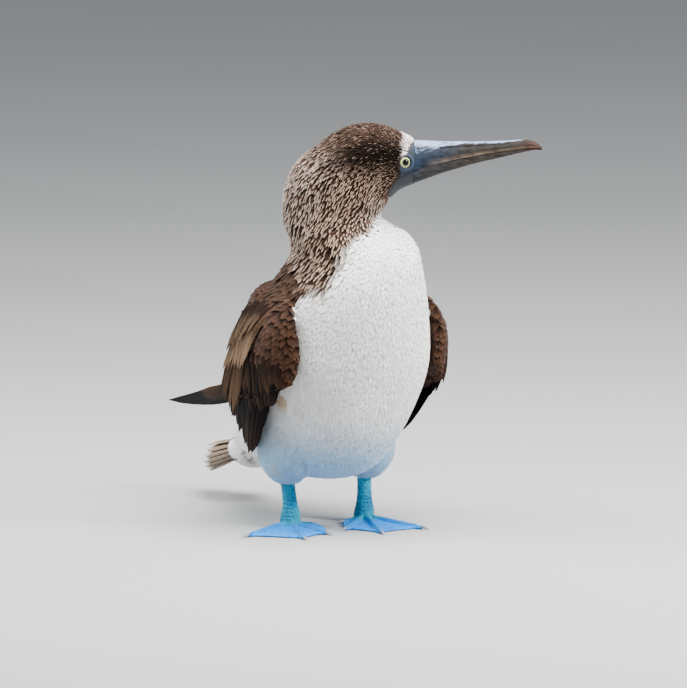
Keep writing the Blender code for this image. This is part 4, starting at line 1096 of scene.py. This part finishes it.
taken = np.zeros(wanted, bool)
kept = []
for number, point in enumerate(roots):
    if not taken[number]:
        kept.append(number)
        taken[[other for _, other, _ in tree.find_range(point, spacing[chosen[number]])]] = True
roots, root_normals = roots[kept], root_normals[kept]
station, angle, flow, far = coat_places(roots)
is_undertail = (far > 1.5) & (roots[:, 1] > 100)
is_free = (bare_face(roots, station) < 0.5) & ((station > 0.25) & (roots[:, 2] > 42) | is_undertail)
roots, root_normals, station, angle, flow, far = (
    rows[is_free] for rows in (roots, root_normals, station, angle, flow, far))
length, half, _ = coat_sizes(roots, station, angle, far)
length = length * draw.uniform(0.8, 1.2, len(roots))
half = half * draw.uniform(0.8, 1.2, len(roots))
on_thigh, on_arm = limb_shares(roots, far)

# Each feather's path runs back over the form from its root, and lifts from the skin to the tip
root_white = markings(roots, station, angle)[2]
ruffle = 0.05 + 0.13 * fade(8.4, 9.4, station) * (1 - root_white)
way = limb_ways(flow, roots, on_thigh, on_arm)
way = lie_flat(way + draw.normal(0, 1, way.shape) * ruffle[:, None], root_normals)
swirl = 3 * ruffle[:, None] * ripple(roots, 11, 31)[:, None]
way = lie_flat(way + np.cross(root_normals, way) * swirl, root_normals)
centre, normal = roots, root_normals
path, normals, ways = [roots], [root_normals], [way]
for step in np.diff(SHORT_STATIONS):
    found = [coat_tree.find_nearest(point) for point in centre + way * (length * step)[:, None]]
    centre = np.array([item[0] for item in found])
    normal = unit(normal * 0.5 + np.array([item[1] for item in found]))
    flow = coat_places(centre)[2]
    way = lie_flat(way * 0.6 + 0.4 * limb_ways(flow, centre, on_thigh, on_arm), normal)
    for rows, row in zip((path, normals, ways), (centre, normal, way)):
        rows.append(row)
path, normals, ways = (np.stack(rows, axis=1) for rows in (path, normals, ways))
sides = unit(np.cross(normals, ways))
is_soft = root_white * (1 - on_arm)
root_depth = np.maximum(coat_depth(roots, station), 0.6) * (1 - 0.35 * on_thigh) * (1 - 0.5 * is_soft)
loose = draw.uniform(0, 1, len(roots)) * (0.3 + 4 * (ruffle - 0.05)) * (1 - 0.5 * is_soft)
tip_lift = (1 - 0.5 * on_arm) * (0.25 + 0.03 * length + loose)
tip_lift = tip_lift + draw.uniform(0, 1.6, len(roots)) * on_thigh * fade(60, 46, roots[:, 2])
lift = -root_depth[:, None] + (root_depth + tip_lift)[:, None] * SHORT_STATIONS ** 0.55
centres = path + normals * lift[..., None]

# Its colours are those of the place where it shows
seen_at = path[:, SEEN_STATION]
seen_station, seen_angle, _, seen_far = coat_places(seen_at)
tip_colour, base_colour, is_white, is_neck, crown = markings(seen_at, seen_station, seen_angle)
clean = fade(0.3, 0.6, is_white) * (seen_at[:, 2] > CLEAN_HEIGHT)
tip_colour = blend(tip_colour, np.maximum(tip_colour, WHITE * 0.97), clean * fade(0.3, 0.6, clean))
base_colour = blend(base_colour, np.maximum(base_colour, WHITE * 0.9), clean)
below_mantle = fade(4, -4, seen_at[:, 2] - np.interp(seen_at[:, 1], MANTLE_EDGE_Y, MANTLE_EDGE_Z)
                    + 3 * ripple(seen_at, 14, 6))
covert = np.maximum(on_arm, limb_shares(seen_at, seen_far)[1]) > 0.35
tip_colour = np.where(covert[:, None], blend(MANTLE_PALE, LESSER_EDGE, below_mantle), tip_colour)
base_colour = np.where(covert[:, None], blend(MANTLE_DARK, LESSER_DARK, below_mantle), base_colour)
is_white, is_neck = is_white * ~covert, is_neck * ~covert
tone = draw.normal(1.0, 0.05, (len(roots), 1)) - 0.02
clump = 1 + 0.14 * ripple(seen_at, 8, 21)[:, None]
tone = tone * np.where(is_neck[:, None] > 0.5, clump * draw.uniform(0.8, 1.2, tone.shape), 1.0)
tone = np.clip(np.where(is_white[:, None] > 0.5, 1 + (tone - 1) * 0.6, tone), 0.6, 1.4)
is_curl = (draw.uniform(0, 1, len(roots)) < CURL_SHARE) * crown
tip_colour = blend(tip_colour, NECK_PALE * 0.7, 0.6 * is_curl)
tip_colour, base_colour = (np.minimum(colour * tone, 0.93) for colour in (tip_colour, base_colour))

# Lax pointed webs with a soft matt edge; thick white down-like webs that glow a little; firmer
# brown webs with a pale scaled margin. Real barbs are about 0.3 mm apart, and drawn coarser here.
streaked_web = plumage("feather_web_streaked", 0.6, "middle", 0.8, 0.04)
white_web = plumage("feather_down_white_soft", 0.7, 0.9, 0.9, 0.3, 0.5)
scaled_web = plumage("feather_web_brown_scaled", 0.8, 0.6, 0.8, 0.05)
is_thigh = on_thigh > 0.5
is_pale = (is_white >= 0.5) & ~is_thigh
streaked = (is_neck >= 0.5) & (is_white < 0.5) & ~is_thigh
is_brown = (is_white < 0.5) & (is_neck < 0.5) & ~is_thigh & ~covert
on_right = roots[:, 0] < 0
# Each piece: its feathers, material, where the tip's rounding begins, its sharpness, how much the
# blades shade as one surface, the slot and the solids that it stands for
for name, mask, material, round_from, sharpness, softness, slot, *nodes in (
        ("feathers_head", streaked & (station > 13.4), streaked_web, 0.4, 0.7, 0.5, "head_plumage", "head"),
        ("feathers_neck", streaked & (station <= 13.4), streaked_web, 0.4, 0.8, 0.4, "head_plumage", "neck"),
        ("feathers_breast", is_pale & (station > 6.6), white_web, 0.45, 0.6, 0.9, "body_plumage", "torso"),
        ("feathers_belly", is_pale & (station <= 6.6), white_web, 0.45, 0.6, 0.9, "body_plumage", "torso"),
        ("feathers_back", is_brown, scaled_web, 0.45, 0.45, 0.75, "body_plumage", "torso"),
        ("coverts_right", covert & on_right, scaled_web, 0.4, 0.4, 0.9, "wing_plumage", "wing_right"),
        ("coverts_left", covert & ~on_right, scaled_web, 0.4, 0.4, 0.9, "wing_plumage", "wing_left"),
        ("feathers_thigh", is_thigh, white_web, 0.5, 0.6, 0.7, "body_plumage", "leg_left", "leg_right")):
    along = station[mask]
    spots = np.stack((angle[mask] / (2 * np.pi), (along - along.min()) / max(np.ptp(along), TINY)), -1)
    width = half[mask, None] * blade_width(SHORT_STATIONS, 0.55, round_from, sharpness)
    tilt = np.array((-0.5, 0, 0.5))[:, None] * (1 - softness)
    own = normals[mask][:, :, None] + sides[mask][:, :, None] * tilt
    piece = vanes(name, centres[mask], sides[mask], normals[mask], width, SHORT_SECTION, tip_colour[mask],
                  base_colour[mask], spots * (1 - 2 * PATCH), 0.22, soft=unit(own))
    dress(piece, material, slot, *nodes)


# The wings' longer feathers, over the arms' coat. Rows of coverts and quills lie like shingles, each
# edge over the next. They are dark warm brown with rusty margins, and blackish towards their ends.
QUILL_SECTION = ((-1, 0.04), (-0.5, 0.26), (-0.08, 0.22), (0, 0.72), (0.08, 0.22), (0.5, 0.26),
                 (1, 0.04), (0, -0.30))
QUILL_DARK = hex_colour("#030303")
QUILL_EDGE = hex_colour("#0b0908")
QUILL_UPPER = hex_colour("#3a2b20")
BLADE_COLOURS = (hex_colour("#070505"), hex_colour("#291e17"))
MEDIAN_EDGE = hex_colour("#3d2c21")
TERTIAL_EDGE = hex_colour("#5c4838")
SCAPULAR_DARK = hex_colour("#33241a")
SCAPULAR_EDGE = hex_colour("#90765f")
# Each row of feathers: how many, the (y, z) curves of roots and tips from front to rear, half
# width, how far root and tip lie outside the wing's surface, bow, the tip's rounding, and colours
Row = namedtuple("Row", "name count roots tips half root_lift lift bow round_from sharpness dark pale")
WING_ROWS = (
    Row("secondaries", 18, ((-50, 136), (-8, 138), (34, 142), (72, 134)),
        ((8, 77), (22, 67), (37, 70), (52, 81), (67, 91), (82, 99), (96, 106)),
        6.2, -1.0, 0.6, 7, 0.72, 0.7, *BLADE_COLOURS),
    Row("greater", 16, ((-60, 148), (-16, 152), (30, 162), (62, 152)),
        ((-42, 118), (-24, 110), (2, 107), (30, 112), (58, 120), (84, 122)),
        6.6, -1.2, 1.4, 5, 0.55, 0.5, *BLADE_COLOURS),
    Row("median", 18, ((-66, 158), (-18, 166), (32, 174), (60, 160)),
        ((-62, 134), (-40, 124), (-8, 123), (24, 130), (56, 138), (78, 136)),
        5.6, -1.6, 1.6, 3, 0.5, 0.45, LESSER_DARK, MEDIAN_EDGE),
    Row("tertials", 14, ((-14, 200), (14, 202), (44, 186), (60, 168)),
        ((12, 116), (34, 100), (60, 96), (84, 101), (98, 109)),
        4.4, -1.5, 3.8, 4, 0.6, 0.7, LESSER_DARK, TERTIAL_EDGE),
    Row("scapulars_long", 18, ((-38, 202), (4, 205), (38, 193), (56, 176)),
        ((-14, 150), (10, 142), (40, 138), (70, 134), (94, 126)),
        3.9, -3.0, 4.2, 5, 0.55, 0.8, SCAPULAR_DARK, SCAPULAR_EDGE),
    # The short scapulars under the mantle's edge are darker, with dimmed edges: painted shade under the
    # mantle
    Row("scapulars_short", 18, ((-30, 207), (4, 209), (34, 200), (52, 184)),
        ((-18, 176), (8, 167), (38, 160), (64, 154), (82, 148)),
        3.8, -3.0, 4.8, 4, 0.5, 0.8, LESSER_DARK, SCAPULAR_EDGE * 0.55),
)
ROW_STATIONS = 9
PRIMARIES, PRIMARY_HALF, PRIMARY_STATIONS = 10, 6.4, 14
# (y, z) places of the first primary, and how far the last one's lie from them
PRIMARY_ROOT, PRIMARY_BEND, PRIMARY_TIP = (-6.0, 134.0), (98.0, 105.0), (281.0, 75.0)
PRIMARY_RISE, PRIMARY_REACH = (0, 3.6), (-126.0, 26.4)


def along_points(points, shares):
    """Places a share of the way along a line of points."""
    return curve_through(range(len(points)), points, shares * (len(points) - 1))


def wing_blades(name, side, shares, roots, bend, tips, stations, lift, widths, pale, dark, map_row,
                camber, roll):
    """A row of quills over the wing, on curves from roots to tips. shares are their places in the
    row, and map_row is the row's own place in the OFBake map."""
    t = np.linspace(0, 1, stations)[None, :, None]
    path = (1 - t) ** 2 * roots[:, None] + 2 * t * (1 - t) * bend[:, None] + t * t * tips[:, None]
    centres, out = wing_point(side, path[..., 0], path[..., 1], lift)
    across = side * unit(np.cross(out, np.gradient(centres, axis=1)))
    spots = np.stack((shares * 0.9 + 0.02, np.full(len(roots), map_row)), -1)
    word = "left" if side > 0 else "right"
    piece = vanes(f"{name}_{word}", centres, across, out, widths, QUILL_SECTION, pale, dark, spots,
                  camber, roll)
    dress(piece, wing_web, "wing_plumage", "wing_" + word)


# Firm closed webs: a satin brown with fine barbs and a worn rusty margin.
wing_web = plumage("feather_web_brown_satin", 0.9, 0.72, 0.7, 0.0)
draw = np.random.default_rng(11)
for side in SIDES.values():
    for number, row in enumerate(WING_ROWS):
        shares = (np.arange(row.count) + draw.uniform(-0.25, 0.25, row.count)) / (row.count - 1)
        shares = np.clip(shares, 0, 1)
        roots, tips = along_points(row.roots, shares), along_points(row.tips, shares)
        tips = tips + draw.normal(0, 2.4, tips.shape)
        bow = row.bow + draw.normal(0, 0.8, row.count)
        bend = (roots + tips) / 2 + np.stack((-bow, 0 * bow), -1)
        raised = row.lift + draw.uniform(-0.5, 0.5, (row.count, 1))
        t = np.linspace(0, 1, ROW_STATIONS)
        lift = row.root_lift + (raised - row.root_lift) * np.sqrt(t)
        widths = row.half * blade_width(t, 0.6, row.round_from, row.sharpness)
        widths = widths * draw.uniform(0.85, 1.12, (row.count, 1))
        tone = draw.uniform(0.62, 1.28, (row.count, 1))
        wing_blades(row.name, side, shares, roots, bend, tips, ROW_STATIONS, lift, widths,
                    row.pale * tone, row.dark * tone, 0.05 + 0.1 * number, 0.12, 0.10)
    shares = np.linspace(0, 1, PRIMARIES)
    t = np.linspace(0, 1, PRIMARY_STATIONS)
    roots, through, tips = (np.array(first) + np.array(off) * shares[:, None] for first, off in (
        (PRIMARY_ROOT, PRIMARY_RISE), (PRIMARY_BEND, PRIMARY_RISE), (PRIMARY_TIP, PRIMARY_REACH)))
    lift = shares[:, None] * 6 - 9 * (1 - np.sqrt(t))
    tone = draw.uniform(0.85, 1.15, (PRIMARIES, 1))
    pale = blend(QUILL_EDGE, QUILL_UPPER, fade(0.7, 1, shares)) * tone
    wing_blades("primaries", side, shares, roots, 2 * through - (roots + tips) / 2, tips, PRIMARY_STATIONS,
                lift, PRIMARY_HALF * blade_width(t, 0.6, 0.62, 0.7), pale, QUILL_DARK * tone, 0.96, 0.1, 0.06)


# The tail: a graduated fan of stiff quills on the rump's end, brown with paler middle ones, their
# tips worn white. Softer coverts lie over its root in tiers, brown above, white and spotted below.
TAIL_ROOT_Y, TAIL_ROOT_Z = 112.0, 66.0
TAIL_SLOPE = 0.2
TAIL_ROOF = 0.8  # fall for each millimetre to either side, away from the rounded ridge
TAIL_RIDGE = 9.0
TAIL_PALE = hex_colour("#e9e0d4")
TAIL_DARK = hex_colour("#8f7a66")
TAIL_OUTER = hex_colour("#4b4037")


def tail_point(along, x, lift):
    """Places on the tail's roof-shaped surface, along it from its root, and the ways up."""
    reach = np.hypot(x, TAIL_RIDGE)
    height = TAIL_ROOT_Z - TAIL_SLOPE * along - TAIL_ROOF * (reach - TAIL_RIDGE) + lift
    up = np.stack((TAIL_ROOF * x / reach, np.full_like(x, TAIL_SLOPE), np.ones_like(x)), -1)
    return np.stack((x, TAIL_ROOT_Y + along, height), -1), unit(up)


# Each tier: pairs, longest and shortest, degrees between neighbours, half width, start, rise of
# the middle pair over the tail's surface, fall from one feather to the next
Tier = namedtuple("Tier", "name pairs longest shortest fan half start rise layer")
TAIL_TIERS = (
    Tier("tail_quills", 6, 115, 78, 3.6, 8.5, 6, 0, 1.0),
    Tier("above_long", 4, 62, 44, 3.6, 6.4, 2, 2.6, 1.0),
    Tier("above_middle", 4, 44, 32, 4.4, 6.4, -8, 4.0, 1.0),
    Tier("above_short", 4, 28, 20, 5.4, 6.2, -20, 5.0, 1.0),
    Tier("below_long", 5, 76, 60, 4.2, 6.2, 0, -10.8, -0.2),
    Tier("below_middle", 5, 60, 46, 5.0, 6.4, -8, -13.6, -0.3),
    Tier("below_short", 5, 42, 34, 6.2, 6.4, -18, -16.4, -0.3),
)
# Stiff webs bleached by sun: satin brown, frayed to white at the very tip.
tail_web = plumage("feather_web_worn_white", 0.9, 0.8, 0.7, 0.0, worn=0.86)
for tier in TAIL_TIERS:
    order = np.arange(2 * tier.pairs)
    rank = order // 2
    lengths = np.interp(rank, (0, tier.pairs - 1), (tier.longest, tier.shortest))
    lengths = lengths + draw.normal(0, 1.0, len(order))
    fan = np.radians(np.where(order % 2 == 0, -1, 1) * tier.fan * (rank + 0.5))[:, None]
    t = np.linspace(0, 1, 10)
    reach = tier.start + (lengths[:, None] - tier.start) * t
    drop = tier.rise - tier.layer * order[:, None]
    centres, ups = tail_point(reach * np.cos(fan), reach * np.sin(fan), drop)
    run = unit(np.gradient(centres, axis=1))
    across = unit(np.cross(run, ups))
    out = unit(np.cross(across, run))
    is_quill, is_below = tier.name == "tail_quills", tier.name.startswith("below")
    widths = tier.half * blade_width(t, 0.5, 0.72 if is_quill else 0.45, 0.5)
    if is_below:
        widths = widths[:, None]  # each keeps one width, and the outermost is a sliver
    ones = np.ones((len(order), 1))
    if is_quill:
        tips, bases = TAIL_PALE * ones, blend(TAIL_DARK, TAIL_OUTER, rank / (tier.pairs - 1))
    elif is_below:
        spotted = (draw.random((len(order), 1)) < 0.28) * 0.8
        tips, bases = WHITE * ones, WHITE * 0.95 + (UNDER_SPOT - WHITE * 0.95) * spotted
        across, out = -across, -out
    else:
        tips, bases = BACK_PALE * ones, BACK_DARK * ones
    tone = draw.uniform(0.88, 1.1, (len(order), 1))
    spots = np.stack((0.03 + order / len(order) * 0.9, np.full(len(order), 0.5)), -1)
    piece = vanes(tier.name, centres, across, out, widths, QUILL_SECTION, np.minimum(tips * tone, 0.95),
                  np.minimum(bases * tone, 0.95), spots, 0.1)
    dress(piece, tail_web if is_quill else wing_web, "body_plumage", "tail")


# The floor and the light. The floor is a plain sheet of pale paper, far wider than the picture, and
# the light is a studio's: a pale surround and three softboxes.
FLOOR_SIDE = 60.0
bpy.ops.mesh.primitive_plane_add(size=FLOOR_SIDE)
floor = bpy.context.object
floor.name = "floor"
# Matt paper: no gloss, a barely uneven grey.
floor_material, tree, shader = start_material("matt_paper_pale", Roughness=0.9, Specular_IOR_Level=0.2)
where = add_node(tree, "TexCoord").outputs["Object"]
grain = add_node(tree, "TexNoise", Scale=0.002 / MM, Detail=3.0, Vector=where)
tone = add_node(tree, "MapRange", Value=grain, To_Min=0.34, To_Max=0.37)
set_node(shader, Base_Color=tone)
floor.data.materials.append(floor_material)

world = bpy.data.worlds.new("studio_air")
bpy.context.scene.world = world
world.use_nodes = True
set_node(world.node_tree.nodes["Background"], Color=(0.86, 0.93, 1.0, 1), Strength=0.5)
# Softboxes: place in millimetres, side in metres, power and colour. All aim at the bird's middle
MIDDLE = (0, -20, 180)
for name, start, size, power, colour in (("light_above", (150, -450, 1700), 1.6, 150, (1.0, 0.99, 0.98)),
                                         ("light_front", (900, -1300, 900), 0.4, 42, (1.0, 0.99, 0.97)),
                                         ("light_behind", (-1000, 500, 1100), 0.9, 32, (0.95, 0.98, 1.0))):
    lamp = bpy.data.lights.new(name, "AREA")
    lamp.size, lamp.energy, lamp.color = size, power, colour
    holder = put_in_scene(name, lamp)
    start, target = (Vector((np.array(spot) + place) * MM) for spot in (start, MIDDLE))
    holder.location = start
    holder.rotation_euler = (target - start).to_track_quat("-Z", "Y").to_euler()

# The camera, where the photograph was taken: ahead and to the bird's right, far off with a long
# lens that takes in the photograph's width at the bird.
CAMERA_TURN, CAMERA_RISE = -27.0, 8.0
CAMERA_FAR = 12.0
PHOTO_PIXELS, PIXEL_SIZE = 687, 0.87  # across, and the millimetres of each at the bird
VIEW_WIDTH = PHOTO_PIXELS * PIXEL_SIZE * MM
LOOK_AT = (11.2, -5.7, 159.1)
turn, rise = np.radians(CAMERA_TURN), np.radians(CAMERA_RISE)
back = np.array((np.sin(turn) * np.cos(rise), -np.cos(turn) * np.cos(rise), np.sin(rise)))
camera = put_in_scene("camera", bpy.data.cameras.new("camera"))
camera.data.lens = camera.data.sensor_width * CAMERA_FAR / VIEW_WIDTH
camera.data.clip_end = 100.0
camera.location = Vector((np.array(LOOK_AT) + place) * MM + back * CAMERA_FAR)
camera.rotation_euler = Vector(-back).to_track_quat("-Z", "Y").to_euler()
bpy.context.scene.camera = camera
